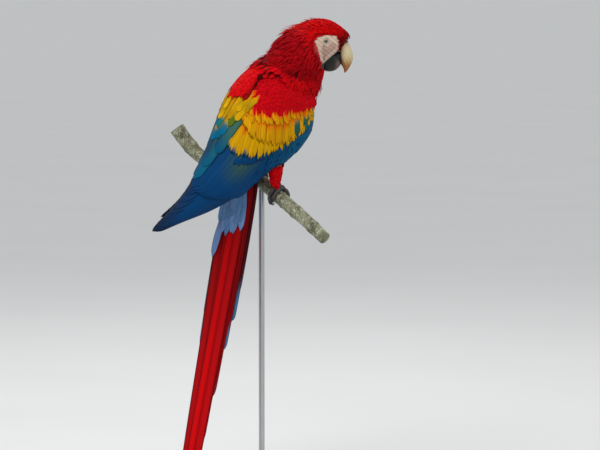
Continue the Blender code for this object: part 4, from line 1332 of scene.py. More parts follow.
spots, spot_normals, skin_area = scatter(90000)
own = head_own(spots)
sizes = feather_length(spots)
bare = inside_face(own)
by_bill = (own[:, 0] > 4.2) & (own[:, 2] < np.interp(own[:, 0], *BILL_TOP)) & (head_share(spots) > 0.5)
jaw = past_gape(own) & (own[:, 2] > -4.6) & (own[:, 2] < -0.5)
covered = under_wing(spots) * (1 - head_share(spots))
behind_patch = own[:, 0] < 0.9
keep = (bare < np.where(behind_patch, 0.34, 0.1)) & ~by_bill & ~jaw & (spots[:, 2] > VENT_HEIGHT)
keep &= covered < np.where(spots[:, 2] > 20.0, 0.55, 0.35)
spots, spot_normals, sizes = spots[keep], spot_normals[keep], sizes[keep]
chosen = thinned(spots, 0.18 * sizes + 0.06)
spots, spot_normals, sizes = spots[chosen], spot_normals[chosen], sizes[chosen]
print(f"skin area {skin_area * 1e4:.0f} cm2, contour feathers {len(spots)}")

# %% Colour the coat
RUFF_PLANE = np.array((0.295, -0.2065, 1.0))
RUFF_HEIGHT = 24.9
FRONT_RIGHT = np.array((0.819, -0.5736, 0.0))
# Spacing in cm of the patches of painted shadow under the ruff.
SHADOW_PATCH_GAP = 5.75


def above_ruff(places):
    """Height above the slanting plane where the neck's ruffled feathers end, in cm."""
    return places @ RUFF_PLANE - RUFF_HEIGHT


def markings(places):
    """The body's colour: scarlet, dark on the lore, and pale blue over the tail's root, with painted shade
    that deepens the neck and painted shadow in patches under the ruff."""
    head = head_share(places)[..., None]
    own = head_own(places)
    body = mix(CRIMSON, SCARLET, 0.45 + 0.3 * np.sin(places[..., 2] * 0.9 + places[..., 1] * 0.7))
    body = body * (1 - head) + SCARLET * head
    # Painted shade: the neck above the ruff line is darkened towards deep red.
    neck = ease(above_ruff(places), 1.4, 2.2) * (1 - head[..., 0])
    body = mix(body, DEEP_RED, neck * 0.5)
    # Painted shadow: a band of dark patches just under the ruff, everywhere but the very front.
    shadow_patches = 0.6 + 0.4 * np.cos((places @ FRONT_RIGHT - 0.3) * math.tau / SHADOW_PATCH_GAP)
    under = np.exp(-(((above_ruff(places) - 1.15) / 0.5) ** 2)) * (1 - head[..., 0])
    body = mix(body, DEEP_RED * 0.08, under * shadow_patches * ease(-places[..., 0], -8.5, -6.5))
    lore = ease(own[..., 0], 3.8, 4.6) * (1 - ease(own[..., 2], 1.4, 2.8)) * head[..., 0]
    body = mix(body, DEEP_RED * 0.6, lore * 0.85)
    behind = trunk_line(places[..., 2])[..., 0] - places[..., 0]
    rump = (1 - ease(places[..., 2], 5.0, 8.5)) * ease(behind, -0.5, 1.5)
    return mix(body, PALE_BLUE, rump * (1 - leg_share(places)))


# %% Contour feathers


def contour_batch(vane, pick, half_share, ruff):
    """The contour feathers of one part of the body. ruff is how much they are out of order."""
    roots, normals, lengths = spots[pick], spot_normals[pick], sizes[pick]
    count = len(roots)
    lengths = lengths * dice.uniform(0.85, 1.15, count)
    ways = lie(roots, normals)
    side = np.cross(normals, ways)
    ways = unit(ways + side * dice.normal(0, 0.1 + 0.12 * ruff, count)[:, None])
    depth = coat_depth(roots)
    high = depth * (0.92 + 0.06 * dice.random(count)) + 0.3 * ruff * dice.random(count) ** 3
    halves = (half_share * lengths + 0.03) * dice.uniform(0.88, 1.12, count)
    lifts, loose, roll = (depth * 0.6, high), 0.15 + 0.1 * ruff, dice.normal(0, 0.03, count)
    points = lay_on_skin(vane, roots, normals, ways, lengths, halves, lifts, loose, roll)
    body = markings(roots) * (1 + 0.06 * dice.standard_normal((count, 1)))
    tints = tip_tints(vane, count, body * 0.88, body, body * 1.02, 0.4, 0.85, 0.04)
    return vane_batch(vane, points, tints, lengths, halves, body_unwrap(roots))


def turned_at_random(ways, normals):
    return unit(ways + np.cross(normals, ways) * dice.normal(0, 0.16, len(ways))[:, None])


# %% Loose and raised feathers


def plumes():
    """Long loose feathers down the nape and along the foot of the neck, that stand off the coat."""
    places, normals, _ = scatter(16000)
    turned = normals @ HEAD_AXES[0]
    skirt = (np.abs(above_ruff(places) - 2.9) < 0.9) & (normals[:, 0] < 0.5)
    nape = (turned < 0.1) & (places[:, 2] > 24.5) & (head_own(places)[:, 0] < 0.6)
    wanted = (skirt | nape) & (inside_face(head_own(places)) < -0.3)
    places, normals = places[wanted], normals[wanted]
    places, normals = (part[thinned(places, np.full(len(places), 0.62))] for part in (places, normals))
    count = len(places)
    ways = turned_at_random(lie(places, normals), normals)
    lengths = (2.9 - 1.1 * head_share(places)) * dice.uniform(0.75, 1.15, count)
    depth = coat_depth(places)
    lifts = (np.minimum(depth, 0.5) * 0.8, np.minimum(depth, 0.6) + 0.1 + 0.6 * dice.random(count) ** 3)
    halves = 0.2 * dice.uniform(0.8, 1.3, count)
    loose = 0.1 + 0.4 * dice.random(count) ** 2
    points = lay_on_skin(LANCE_VANE, places, normals, ways, lengths, halves, lifts, loose)
    body = markings(places) * (1 + 0.07 * dice.standard_normal((count, 1)))
    tints = tip_tints(LANCE_VANE, count, body * 0.6, body, body * 1.06, 0.4, 0.85, 0.05)
    return vane_batch(LANCE_VANE, points, tints, lengths, halves, body_unwrap(places))


def raised_batch():
    """Feathers that stand off the coat: at the back of the crown, where this bird ruffles them most, and
    as a loose fringe down the side of the breast."""
    places, normals, _ = scatter(30000)
    own, head = head_own(places), head_share(places)
    crown = np.exp(-(((own[:, 0] + 4.8) / 1.9) ** 2) - (own[:, 1] / 3.4) ** 2) * ease(own[:, 2], -0.5, 1.5)
    crown *= (head > 0.3) & (inside_face(own) < -0.5)
    fringe = ease(normals @ FRONT_RIGHT, 0.3, 0.75) * ease(places[:, 2], 16.0, 18.5)
    fringe *= 1 - ease(places[:, 2], 25.0, 27.0)
    fringe *= 0.42 * (1 - head) * (under_wing(places) < 0.2)
    raised = np.maximum(crown, fringe)
    chosen = raised > 0.06
    places, normals, raised, crown = (part[chosen] for part in (places, normals, raised, crown))
    chosen = thinned(places, np.where(crown > 0.06, 0.3, 0.42))
    places, normals, raised, crown = (part[chosen] for part in (places, normals, raised, crown))
    count = len(places)
    ways = turned_at_random(lie(places, normals), normals)
    ways = unit(ways + normals * (raised * dice.uniform(0.25, 1.0, count))[:, None])
    lengths = np.where(crown > 0.06, 1.2 + 1.5 * raised, 2.3) * dice.uniform(0.8, 1.15, count)
    halves = 0.24 * dice.uniform(0.8, 1.2, count)
    points = lay_straight(LANCE_VANE, places, normals, ways, lengths, halves, 0.15)
    body = markings(places) * (1 + 0.07 * dice.standard_normal((count, 1)))
    tints = tip_tints(LANCE_VANE, count, body * 0.7, body, body * 1.05, 0.4, 0.85, 0.05)
    return vane_batch(LANCE_VANE, points, tints, lengths, halves, body_unwrap(places))


# %% Leg feathers, and the coat in three pieces


def leg_feathers():
    """Rings of feathers down each thigh. The last of them hang over the top of the shank."""
    roots, normals, ways = [], [], []
    for side in (-1, 1):
        middle, radii = thigh_line(side)
        for up in np.arange(middle[-1, 2] - 0.8, middle[1, 2], -0.36):
            heights = np.array((up, up - 1.7))
            here, lower = path_at(middle, heights)
            radius, lower_radius = np.interp(heights, middle[:, 2], radii)
            count = int(radius * 24)
            angle = np.linspace(0, math.tau, count, endpoint=False) + dice.normal(0, 0.09, count)
            out = np.stack((np.cos(angle), np.sin(angle), np.zeros(count)), axis=-1)
            root = here + out * (radius - 0.22)
            seen = (out[:, 1] > -0.3) | (up < middle[3, 2] + 0.6)
            roots.append(root[seen])
            normals.append(out[seen])
            ways.append(unit(lower + out * (lower_radius + 0.04) - root)[seen])
    roots, normals, ways = np.concatenate(roots), np.concatenate(normals), np.concatenate(ways)
    count = len(roots)
    lengths, halves = 1.9 * dice.uniform(0.85, 1.1, count), 0.27 * dice.uniform(0.9, 1.1, count)
    points = lay_straight(COVERT_VANE, roots, normals, ways, lengths, halves, 0.02)
    body = mix(CRIMSON, SCARLET, 0.6) * (1 + 0.05 * dice.standard_normal((count, 1)))
    tints = tip_tints(COVERT_VANE, count, body * 0.88, body, body, 0.4, 0.85, 0.03)
    return vane_batch(COVERT_VANE, points, tints, lengths, halves, body_unwrap(roots))


on_head_part = head_share(spots) >= 0.75
on_neck_part = (above_ruff(spots) > 1.7) & ~on_head_part
on_torso = ~on_head_part & ~on_neck_part & (leg_share(spots) <= 0.4)
head_coat = [contour_batch(SMALL_VANE, on_head_part, 0.18, 0.2)]
join_vanes("head_plumage", head_coat, red_plumage)
neck_coat = [contour_batch(LANCE_VANE, on_neck_part, 0.14, 0.5), plumes(), raised_batch()]
join_vanes("neck_plumage", neck_coat, red_plumage)
body_coat = [contour_batch(COVERT_VANE, on_torso, 0.2, 0.1), leg_feathers()]
join_vanes("body_plumage", body_coat, red_plumage)

# %% [markdown]
# ## The tail
# Twelve quills make the tail, in pairs that grow shorter outwards, so that it tapers to two long red
# feathers. The outer pairs turn maroon and blue. The tail hangs with a twist, so a function bends flat
# places along it and turns them, as the wing's chart does. Pointed pale blue coverts roof its root.

# %% Bend the tail
TAIL_ROOT = np.array((-7.6, 0.0, 3.6))
TAIL_SLOPE = math.radians(78.3)
TAIL_LONG = 62.5
TAIL_TWIST = 25.0
TAIL_ROOF = math.radians(10.0)
TAIL_PITCH = 0.32  # from one quill down to the next
PAIRS = 6
tail_down = np.array((-math.cos(TAIL_SLOPE), 0, -math.sin(TAIL_SLOPE)))
tail_back = np.array((-math.sin(TAIL_SLOPE), 0, math.cos(TAIL_SLOPE)))


def tail_place(along, left, lift):
    """Places on the bird of places along the tail, across it and above it, in cm."""
    twist = np.radians(-TAIL_TWIST * np.minimum(0.4 + along / 25.0, 1.0))
    drop = (np.hypot(left, 1.0) - 1.0) * math.sin(TAIL_ROOF)
    across = (left * math.cos(TAIL_ROOF))[..., None] * np.array((0, 1, 0))
    flat = across + (lift - drop)[..., None] * tail_back
    sine, cosine = np.sin(twist)[..., None], np.cos(twist)[..., None]
    turned = flat * cosine + np.cross(tail_down, flat) * sine
    turned = turned + tail_down * (flat @ tail_down)[..., None] * (1 - cosine)
    return TAIL_ROOT + along[..., None] * tail_down + turned


def lay_on_tail(vane, starts, ends, lefts, halves, lifts, roll):
    """Vanes along the tail. lefts and lifts are each vane's middle across and above it at root and tip."""
    u, v, z = vane["u"][None], vane["v"][None], vane["z"][None]
    values = (starts, ends, *lefts, halves, *lifts, roll)
    start, end, near, far, half, low, high, roll = (np.asarray(x, float).reshape(-1, 1) for x in values)
    along = start + (end - start) * v
    left = near + (far - near) * v + u * half
    lift = low + (high - low) * v + roll * u + z * 0.04
    return room(tail_place(along, left, lift))


# %% Quills in pairs


def tail_quills(side):
    share = np.array((1.0, 0.92, 0.76, 0.6, 0.5, 0.4))
    near = np.array((1.5, 1.65, 2.1, 2.4, 2.8, 3.0))
    far = np.array((0.6, 0.85, 1.1, 1.75, 2.4, 2.6))
    halves = np.array((1.75, 1.6, 1.55, 1.5, 1.45, 1.3))
    lift = -TAIL_PITCH * (np.array((0.0, 0.5, 2.0, 2.6, 4.0, 4.5)) + (side > 0)) - 0.1
    ends = TAIL_LONG * share
    lefts = (side * near, side * (near + (far - near) * share))
    points = lay_on_tail(TAIL_VANE, 0.5, ends, lefts, halves, (lift, lift), 0.02 * side)
    u, v = TAIL_VANE["u"][None], TAIL_VANE["v"][None]
    outer = ease(u * side, -0.1, 0.25)
    blue = np.array((0.0, 0.0, 0.06, 0.4, 0.9, 1.0))[:, None]
    red = mix(SCARLET * 0.92, MAROON, 0.25 * ease(np.abs(u), 0.5, 1.0))
    web = mix(red, MAROON, np.clip(outer * (0.25 + blue), 0, 1))
    tip = ease(v, 0.9 - 0.25 * blue, 0.96 - 0.1 * blue) * np.clip(3 * blue, 0, 1)
    web = mix(web, PALE_BLUE * 0.5 + SEA_BLUE * 0.5, tip)
    web = mix(web, DEEP_RED * 0.7, (np.abs(u) < 0.05) * 0.6)
    tone = 1 + 0.05 * dice.standard_normal((PAIRS, 1, 1))
    web = web * tone * (0.7 + 0.25 * ease(v, 0.2, 0.8))[..., None]
    unwrap = np.stack((0.5 + side * near / 12, np.full(PAIRS, 0.2)), axis=-1)
    return vane_batch(TAIL_VANE, points, web, ends, halves, unwrap)


for side, word in SIDES:
    nodes = [f"tail_{word}_{part}" for part in ("inner", "middle", "outer")]
    join_vanes(f"tail_quills_{word}", [tail_quills(side)], red_plumage, nodes)

# %% Pale blue coverts over and under its root


ROOT_LILAC = paint(132, 130, 178)
COVERT_ROWS = (  # how far down the tail they end, how many, length
    (14.2, 6, 10.0), (12.2, 6, 9.0), (10.2, 7, 8.0), (8.2, 7, 6.5), (6.0, 7, 5.6), (4.0, 7, 4.8),
)


def tail_coverts(over):
    """Rows of coverts over the tail's root, or under it."""
    batches = []
    for number, (end, count, length) in enumerate(COVERT_ROWS):
        spread = np.linspace(-1, 1, count) + dice.normal(0, 0.05, count)
        ends = end - 1.2 * np.abs(spread) + dice.normal(0, 0.4, count)
        if over and number == 0:
            ends[-1] += 5.0  # one hangs loose beside the tail
        lengths = length * dice.uniform(0.92, 1.08, count)
        halves = np.full(count, 0.95 - 0.06 * number) * dice.uniform(0.9, 1.1, count)
        lefts = (spread * 1.9, spread * 2.6 + dice.normal(0, 0.12, count))
        if over:
            high = 0.16 + 0.1 * number + 0.03 * dice.random(count)
            low = high - 0.12
        else:
            high = -TAIL_PITCH * PAIRS - 0.12 - 0.1 * number - 0.03 * dice.random(count)
            low = high + 0.12
        roll = dice.normal(0, 0.03, count)
        points = lay_on_tail(BLUNT_VANE, ends - lengths, ends, lefts, halves, (low, high), roll)
        body = mix(PALE_BLUE, SEA_BLUE * 0.9, dice.uniform(0, 0.45, count))
        body = mix(body, ROOT_LILAC, dice.uniform(0, 0.35, count))
        tints = tip_tints(BLUNT_VANE, count, body * 0.75, body, body * 0.92, 0.4, 0.9, 0.06)
        unwrap = np.stack((0.5 + lefts[0] / 14, 0.2 + ends / 60), axis=-1)
        batches.append(vane_batch(BLUNT_VANE, points, tints, lengths, halves, unwrap))
    return batches


for name, over, node in (
    ("tail_coverts_over", True, "tail_coverts_upper"),
    ("tail_coverts_below", False, "tail_coverts_under"),
):
    join_vanes(name, tail_coverts(over), pale_plumage, (node,))

# %% [markdown]
# ## The face, the lids and the finished skin
# The skin takes the coat's colour at each place, painted neck shade and ruff shadow included, only darker,
# so that no pale gap shows between vanes, and the bare patch is cream. The lids are two rolled folds round
# the eye. Tiny red feathers lie on the patch in slanting rows.

# %% Colour the skin


def piece(name, bm, finish, nodes, tints=None):
    """One finished piece. tints is a function from places on the bird to colours."""
    bm.normal_update()
    mesh = bpy.data.meshes.new(name)
    bm.to_mesh(mesh)
    bm.free()
    if tints is not None:
        co = np.empty(len(mesh.vertices) * 3)
        mesh.vertices.foreach_get("co", co)
        tints = tints(bird(co.reshape(-1, 3)))
    print(f"{name}: {len(mesh.polygons)} faces")
    return place_piece(name, mesh, tints, finish, nodes)


def skin_tints(places):
    own = head_own(places)
    bare = ease(inside_face(own), -0.12, 0.05) * (head_share(places) > 0.5)
    # The coat's colour here carries the painted neck shade and the painted shadow under the ruff.
    coat = markings(places) * 0.8
    from_eye = np.hypot(own[..., 0] - EYE_PLACE[0], own[..., 2] - EYE_PLACE[2])
    face = mix(FACE_CREAM, paint(188, 156, 140), 0.5 + 0.5 * np.sin(own[..., 0] * 5 + own[..., 2] * 7))
    face = mix(face, paint(168, 158, 142), np.exp(-(((from_eye - 0.6) / 0.2) ** 2)) * 0.8)
    face = mix(face, paint(60, 52, 50), 1 - ease(from_eye, 0.4, 0.48))
    gape = past_gape(own) & (own[..., 2] < -0.5) & (own[..., 0] > 0.8) & (head_share(places) > 0.3)
    coat = np.where(gape[..., None], paint(34, 36, 38), coat)
    return mix(coat, face, bare)


def skin_finish():
    finish, tree, shader = new_finish("bare skin", 0.55, Subsurface_Weight=0.12)
    shader.inputs["Subsurface Radius"].default_value = (0.004, 0.002, 0.001)
    crease = texture_node(tree, "ShaderNodeTexVoronoi", own_places(tree), {"Scale": 900.0})
    crease = crease.outputs["Distance"]
    tint_by(tree, shader, math_node(tree, "MULTIPLY_ADD", crease, 0.25, 0.86))
    bump_by(tree, shader, crease, 0.5, 0.0004)
    return finish


# %% Add the lids


def spin_round(bm, profile, axis, steps):
    """Turns a profile once round an axis through the origin, as a lathe would."""
    bmesh.ops.spin(
        bm, geom=profile, axis=axis, cent=(0, 0, 0), angle=math.tau, steps=steps, use_merge=True
    )


def eye_centre(side):
    return np.array(EYE_PLACE) * np.array((1, side, 1))


bare_skin = skin_finish()
bm = bmesh.new()
bm.from_mesh(skin.data)
bpy.data.objects.remove(skin, do_unlink=True)
for side in (-1, 1):
    centre = eye_centre(side)
    for radius, fold, out in ((0.48, 0.08, 0.52), (0.61, 0.06, 0.42)):
        before = set(bm.verts)
        made = bmesh.ops.create_circle(bm, segments=10, radius=fold)["verts"]
        for vert in made:
            vert.co = Vector((radius + vert.co.x, vert.co.y + out, 0))
        profile = made + list({e for v in made for e in v.link_edges})
        spin_round(bm, profile, (0, 1, 0), 44)
        for vert in set(bm.verts) - before:
            x, y, z = vert.co
            flat = 0.86 if z > 0 else 0.9
            vert.co = room(on_head(centre + np.array((x * 1.04, side * y, z * flat))))
bmesh.ops.recalc_face_normals(bm, faces=bm.faces)
flesh = ("head", "neck", "trunk_breast", "trunk_rump", "thigh_right", "thigh_left")
skin = piece("skin", bm, bare_skin, flesh, skin_tints)

# %% Rows of tiny feathers on the bare face
ROW_SLOPE = math.radians(47.0)
ROW_GAP = 0.4
ROW_STEP = 0.17
FACE_RED = paint(120, 26, 28)


def face_rows():
    roots = []
    along = np.array((math.cos(ROW_SLOPE), math.sin(ROW_SLOPE)))
    aside = np.array((-along[1], along[0]))
    foot = FACE_OUTLINE[FACE_OUTLINE[:, 1].argmin()]
    for side in (-1, 1):
        for row in np.arange(0.3, 3.0, ROW_GAP):
            steps = np.arange(-3.4, 3.4, ROW_STEP)
            line = foot + np.outer(np.full(len(steps), row), aside)
            line = line + np.outer(steps + 2.0, along)
            line = line + 0.05 * np.sin(steps * 3.0 + row * 5.0)[:, None]
            own = np.stack((line[:, 0], np.full(len(line), side * 3.4), line[:, 1]), axis=-1)
            far = np.hypot(line[:, 0] - EYE_PLACE[0], line[:, 1] - EYE_PLACE[2])
            keep = (inside_face(own) > 0.12) & (far > 0.95) & (line[:, 1] < 1.0)
            roots.append(own[keep])
    own = np.concatenate(roots)
    places = on_head(own)
    spots, normals = [], []
    for place in places:
        hit, way, _, _ = skin_tree.find_nearest(Vector(room(place)))
        spots.append(bird(np.array(hit)))
        normals.append(bird_way(np.array(way)))
    spots, normals = np.array(spots), np.array(normals)
    count = len(spots)
    way = -(HEAD_AXES[0] * along[0] + HEAD_AXES[2] * along[1])
    ways = unit(way - (way * normals).sum(-1, keepdims=True) * normals)
    lengths, halves = np.full(count, 0.26), np.full(count, 0.07)
    points = lay_on_skin(SMALL_VANE, spots, normals, ways, lengths, halves, (0.0, 0.035), thick=0.012)
    tints = tip_tints(SMALL_VANE, count, DEEP_RED, FACE_RED, FACE_RED)
    return vane_batch(SMALL_VANE, points, tints, lengths, halves, body_unwrap(spots))


join_vanes("face_feathers", [face_rows()], red_plumage)

# %% [markdown]
# ## The eyes
# A macaw's eye is a ball set deep in the cheek, with a pale yellow iris and a small round pupil under a
# wet, clear front. The ball is a sphere whose colours follow the distance from its own axis, and a clear
# coat gives the wet shine.

# %% Make the eyeballs


def eye_finish():
    finish, tree, shader = new_finish("eye", 0.12, Coat_Weight=0.4, Coat_Roughness=0.03)
    rays = texture_node(tree, "ShaderNodeTexNoise", own_places(tree), {"Scale": 1400.0})
    tint_by(tree, shader, math_node(tree, "MULTIPLY_ADD", rays.outputs[0], 0.3, 0.85))
    return finish


EYE_RADIUS = 0.72
IRIS_OLIVE, IRIS_BROWN = paint(150, 146, 112), paint(128, 122, 88)
IRIS_RIM, PUPIL, BALL_BACK = paint(34, 30, 26), paint(3, 3, 4), paint(40, 34, 30)


def eye_tints_round(centre):
    """The colours of the ball with this centre in the head's own cm, by the distance from its axis."""

    def eye_tints(places):
        away = head_own(places) - centre
        off = np.hypot(away[..., 0], away[..., 2])
        front = away[..., 1] * centre[1] > 0
        iris = mix(IRIS_OLIVE, IRIS_BROWN, ease(off, 0.27, 0.4))
        iris = mix(iris, IRIS_RIM, ease(off, 0.38, 0.44))
        iris = mix(PUPIL, iris, ease(off, 0.26, 0.28))
        return np.where(front[..., None], iris, BALL_BACK)

    return eye_tints


eye_shine = eye_finish()
for side, word in SIDES:
    bm = bmesh.new()
    bmesh.ops.create_uvsphere(bm, u_segments=64, v_segments=96, radius=EYE_RADIUS)
    centre = eye_centre(side)
    for vert in bm.verts:
        x, y, z = vert.co
        bulge = 1 + 0.05 * max(0.0, z / EYE_RADIUS) ** 24
        vert.co = room(on_head(centre + np.array((x, side * z * bulge, y))))
    bmesh.ops.recalc_face_normals(bm, faces=bm.faces)
    piece(f"eyeball_{word}", bm, eye_shine, (f"eye_{word}",), eye_tints_round(centre))

# %% [markdown]
# ## The bill
# The upper bill is a deep hook of ivory horn with an amber tip and a black root along its cutting edge,
# the lower a black scoop that fits inside it. The upper is lofted from the ovals of its solid with many
# more rings, and ridged a little, because horn grows in layers that wear unevenly. The lower is an oval
# ball, cut along two planes and hollowed, with the tongue in it.

# %% The upper hook
UPPER_BILL = (  # forward, up, half width, half depth to the ridge and to the cutting edge
    (4.50, 0.60, 1.35, 1.10, 1.00),
    (5.25, 0.00, 1.50, 1.20, 1.15),
    (5.65, -1.00, 1.55, 1.35, 1.30),
    (5.76, -2.10, 1.40, 1.50, 1.50),
    (5.84, -3.30, 1.05, 1.20, 1.15),
    (5.88, -4.20, 0.60, 0.72, 0.65),
    (5.80, -4.90, 0.28, 0.34, 0.28),
    (5.66, -5.30, 0.08, 0.10, 0.08),
)
IVORY = paint(206, 190, 150)
AMBER = paint(150, 78, 26)
HORN_BROWN = paint(172, 134, 70)
HORN_BLACK = paint(22, 26, 20)
# Pinkish grey of the painted sheen on the lower bill's front.
PAINTED_SHEEN_PINK = paint(150, 118, 112)


def horn_finish(name, roughness, streak):
    """Horn that grew in layers. streak is how much they differ in tone."""
    finish, tree, shader = new_finish(name, roughness, Specular_IOR_Level=0.3, Coat_Weight=0.08)
    shader.inputs["Coat Roughness"].default_value = 0.25
    grown = own_places(tree, (500.0, 500.0, 70.0))
    layers = texture_node(tree, "ShaderNodeTexNoise", grown, {"Scale": 1.0, "Detail": 4.0}).outputs[0]
    tint_by(tree, shader, math_node(tree, "MULTIPLY_ADD", layers, streak, 1 - streak / 2))
    bump_by(tree, shader, layers, 0.35, 0.0004)
    return finish


def bill_rings(count):
    columns = [[(i, row[c]) for i, row in enumerate(UPPER_BILL)] for c in range(5)]
    last = len(UPPER_BILL) - 1
    rings = []
    for step in np.linspace(0, last, count):
        forward, up, wide, ridge, edge = (float(smooth_curve(c, step)) for c in columns)
        ahead, behind = min(step + 0.3, last), max(step - 0.3, 0)
        run, drop = (float(smooth_curve(c, ahead) - smooth_curve(c, behind)) for c in columns[:2])
        outer = unit(HEAD_AXES[0] * -drop + HEAD_AXES[2] * run)
        swell = 1 + 0.006 * math.sin(step * 17.0) + 0.004 * math.sin(step * 41.0)
        rings.append((on_head((forward, 0, up)), HEAD_AXES[1], outer, wide * swell, ridge * swell, edge))
    return rings


def upper_bill_tints(places):
    own = head_own(places)
    forward, up = own[..., 0], own[..., 2]
    root = np.interp(-up, (0.3, 0.6, 2.4, 4.3), (4.3, 4.65, 4.8, 5.3))
    mottle = 0.35 * np.sin(forward * 9 + up * 5) + 0.25 * np.sin(up * 13 - forward * 4)
    tints = mix(IVORY, HORN_BROWN, ease(-up + mottle, 1.4, 3.6) * 0.9)
    tints = mix(tints, AMBER, ease(-up + mottle, 2.8, 4.2) * 0.85)
    # A darker brown wedge low on the upper bill, near its root.
    wedge_and_sheen = (1 - ease(forward, root, root + 0.7)) * ease(-up, 1.4, 2.6)
    tints = mix(tints, HORN_BROWN * 0.25, wedge_and_sheen * 0.7)
    return mix(tints, HORN_BLACK, (1 - ease(forward, root - 0.16, root + 0.2)) * ease(-up, 0.2, 0.7))


pale_horn = horn_finish("pale horn", 0.34, 0.22)
dark_horn = horn_finish("dark horn", 0.38, 0.5)
bm = bmesh.new()
add_loft(bm, bill_rings(64), 48)
piece("upper_bill", bm, pale_horn, ("bill_upper",), upper_bill_tints)

# %% The lower scoop and the tongue
LOWER_BILL_CENTRE = (2.35, -3.1)
LOWER_BILL_HALF = (2.5, 1.42, 2.15)
TONGUE_CENTRE = (3.9, 0.0, -2.1)
TONGUE_HALF = (1.1, 1.05, 1.15)


def part_at(bm, point, normal):
    """Cuts away what lies past a plane, given on the bird, and closes the cut. Returns the new faces."""
    origin = Vector(room(point))
    direction = Vector(room_way(unit(np.asarray(normal, float))))
    geometry = bm.verts[:] + bm.edges[:] + bm.faces[:]
    made = bmesh.ops.bisect_plane(
        bm, geom=geometry, plane_co=origin, plane_no=direction, clear_outer=True, dist=1e-7
    )
    edges = [e for e in made["geom_cut"] if isinstance(e, bmesh.types.BMEdge)]
    return bmesh.ops.holes_fill(bm, edges=edges, sides=0)["faces"]


bm = bmesh.new()
bmesh.ops.create_uvsphere(bm, u_segments=56, v_segments=40, radius=1.0)
for vert in bm.verts:
    along, across, up = np.array(vert.co) * np.array(LOWER_BILL_HALF)
    vert.co = room(on_head((LOWER_BILL_CENTRE[0] + along, across, LOWER_BILL_CENTRE[1] + up)))
part_at(bm, on_head((1.9, 0, -2.7)), HEAD_AXES[0] * -0.82 + HEAD_AXES[2] * 0.57)
top = part_at(bm, on_head((3.2, 0, -1.6)), HEAD_AXES[2] * 0.86 + HEAD_AXES[0] * 0.5)
bmesh.ops.inset_region(bm, faces=top, thickness=0.0016, depth=0.0)
bmesh.ops.inset_region(bm, faces=top, thickness=0.001, depth=-0.006)


def lower_bill_tints(places):
    own = head_own(places)
    # Painted sheen: a pinkish-grey highlight towards the lower bill's front, low down.
    wedge_and_sheen = ease(own[..., 0], 3.3, 4.4) * (1 - ease(own[..., 2], -3.4, -2.4)) * 0.45
    return mix(HORN_BLACK, PAINTED_SHEEN_PINK, wedge_and_sheen)


made = bmesh.ops.create_uvsphere(bm, u_segments=24, v_segments=18, radius=1.0)["verts"]
for vert in made:
    vert.co = room(on_head(np.array(vert.co) * np.array(TONGUE_HALF) + np.array(TONGUE_CENTRE)))
piece("lower_bill", bm, dark_horn, ("bill_lower",), lower_bill_tints)

# %% [markdown]
# ## Legs and feet
# A macaw's toes are thick and scaly, two in front of the branch and two behind. Each is a tube round the
# branch, swollen between its joints and ringed with scutes on top. Fine scales between the rings come
# from the finish.

# %% The foot's measures and finishes
TOES = {  # way round the branch, shift along it at root and tip, length, radius, joints
    "toe_2": (1, 0.52, 1.25, 3.2, 0.42, 3),
    "toe_3": (1, -0.52, -1.40, 4.2, 0.46, 3),
    "toe_1": (-1, 0.50, 0.75, 2.4, 0.40, 2),
    "toe_4": (-1, -0.50, -0.40, 3.7, 0.44, 3),
}
TOE_START = 20.0  # degrees round the branch from its top
CLAW_LONG = 1.7
CLAW_RADIUS = 0.31
CLAW_OVERLAP = 6.0  # degrees of the claw that lie in the toe
FOOT_GREY = paint(78, 70, 70)
CLAW_BLACK = paint(24, 22, 24)


def scale_finish():
    """Small scales, raised between dark seams."""
    finish, tree, shader = new_finish("foot skin", 0.5)
    scales = texture_node(
        tree, "ShaderNodeTexVoronoi", own_places(tree), {"Scale": 750.0}, feature="DISTANCE_TO_EDGE"
    )
    raised = math_node(tree, "MINIMUM", math_node(tree, "MULTIPLY", scales.outputs[0], 5.0), 1.0)
    tint_by(tree, shader, math_node(tree, "MULTIPLY_ADD", raised, 0.6, 0.45))
    bump_by(tree, shader, raised, 0.8, 0.0005)
    return finish


foot_skin = scale_finish()
claw_horn = horn_finish("claw horn", 0.3, 0.4)


# %% Scaly toes, claws and shanks


def foot_tints(places):
    tone = 0.85 + 0.3 * np.sin(places[..., 1] * 9) * np.sin(places[..., 2] * 11 + places[..., 0] * 5)
    return FOOT_GREY * tone[..., None]


def claw_tints(places):
    return np.broadcast_to(CLAW_BLACK, places.shape)


def tube(path, radii, sides):
    bm = bmesh.new()
    add_loft(bm, tube_rings(path, radii), sides)
    return bm


def toe_tube(foot, way, root, tip, length, radius, joints):
    """A toe round the branch, thinner at its joints and ringed with scutes."""
    reach = PERCH_RADIUS + radius + 0.06
    t = np.linspace(0, 1, 61)
    angle = TOE_START + math.degrees(length / reach) * t
    pads = 1 - 0.12 * np.abs(np.cos(np.pi * joints * t)) ** 6
    scutes = 1 + 0.035 * np.abs(np.sin(np.pi * 11 * length / 4 * t))
    path = round_branch(foot, way * angle, root + (tip - root) * t, reach)
    return tube(path, radius * (1.0 - 0.22 * t) * pads * scutes, 22)


def claw_tube(foot, way, tip, length, radius):
    """A claw that arches on from the end of its toe."""
    reach = PERCH_RADIUS + radius + 0.06
    start = TOE_START + math.degrees((length + 0.2) / reach) - CLAW_OVERLAP
    t = np.linspace(0, 1, 24)
    angle = start + (math.degrees(CLAW_LONG / reach) + CLAW_OVERLAP) * t
    path = round_branch(foot, way * angle, tip, reach + 0.3 * np.sin(np.pi * t))
    return tube(path, CLAW_RADIUS * (1.0 - t**1.3) + 0.03, 18)


def shank_tube(side):
    sole, heel, _ = leg_places(side)
    t = np.linspace(0, 1, 30)
    path = path_through((sole, (sole + heel) / 2, heel - np.array((0, 0, 0.1))), len(t))
    radii = smooth_curve(((0, 0.64), (0.25, 0.56), (0.5, 0.52), (1, 0.5)), t)
    return tube(path, radii * (1 + 0.03 * np.abs(np.sin(np.pi * 9 * t))), 26)


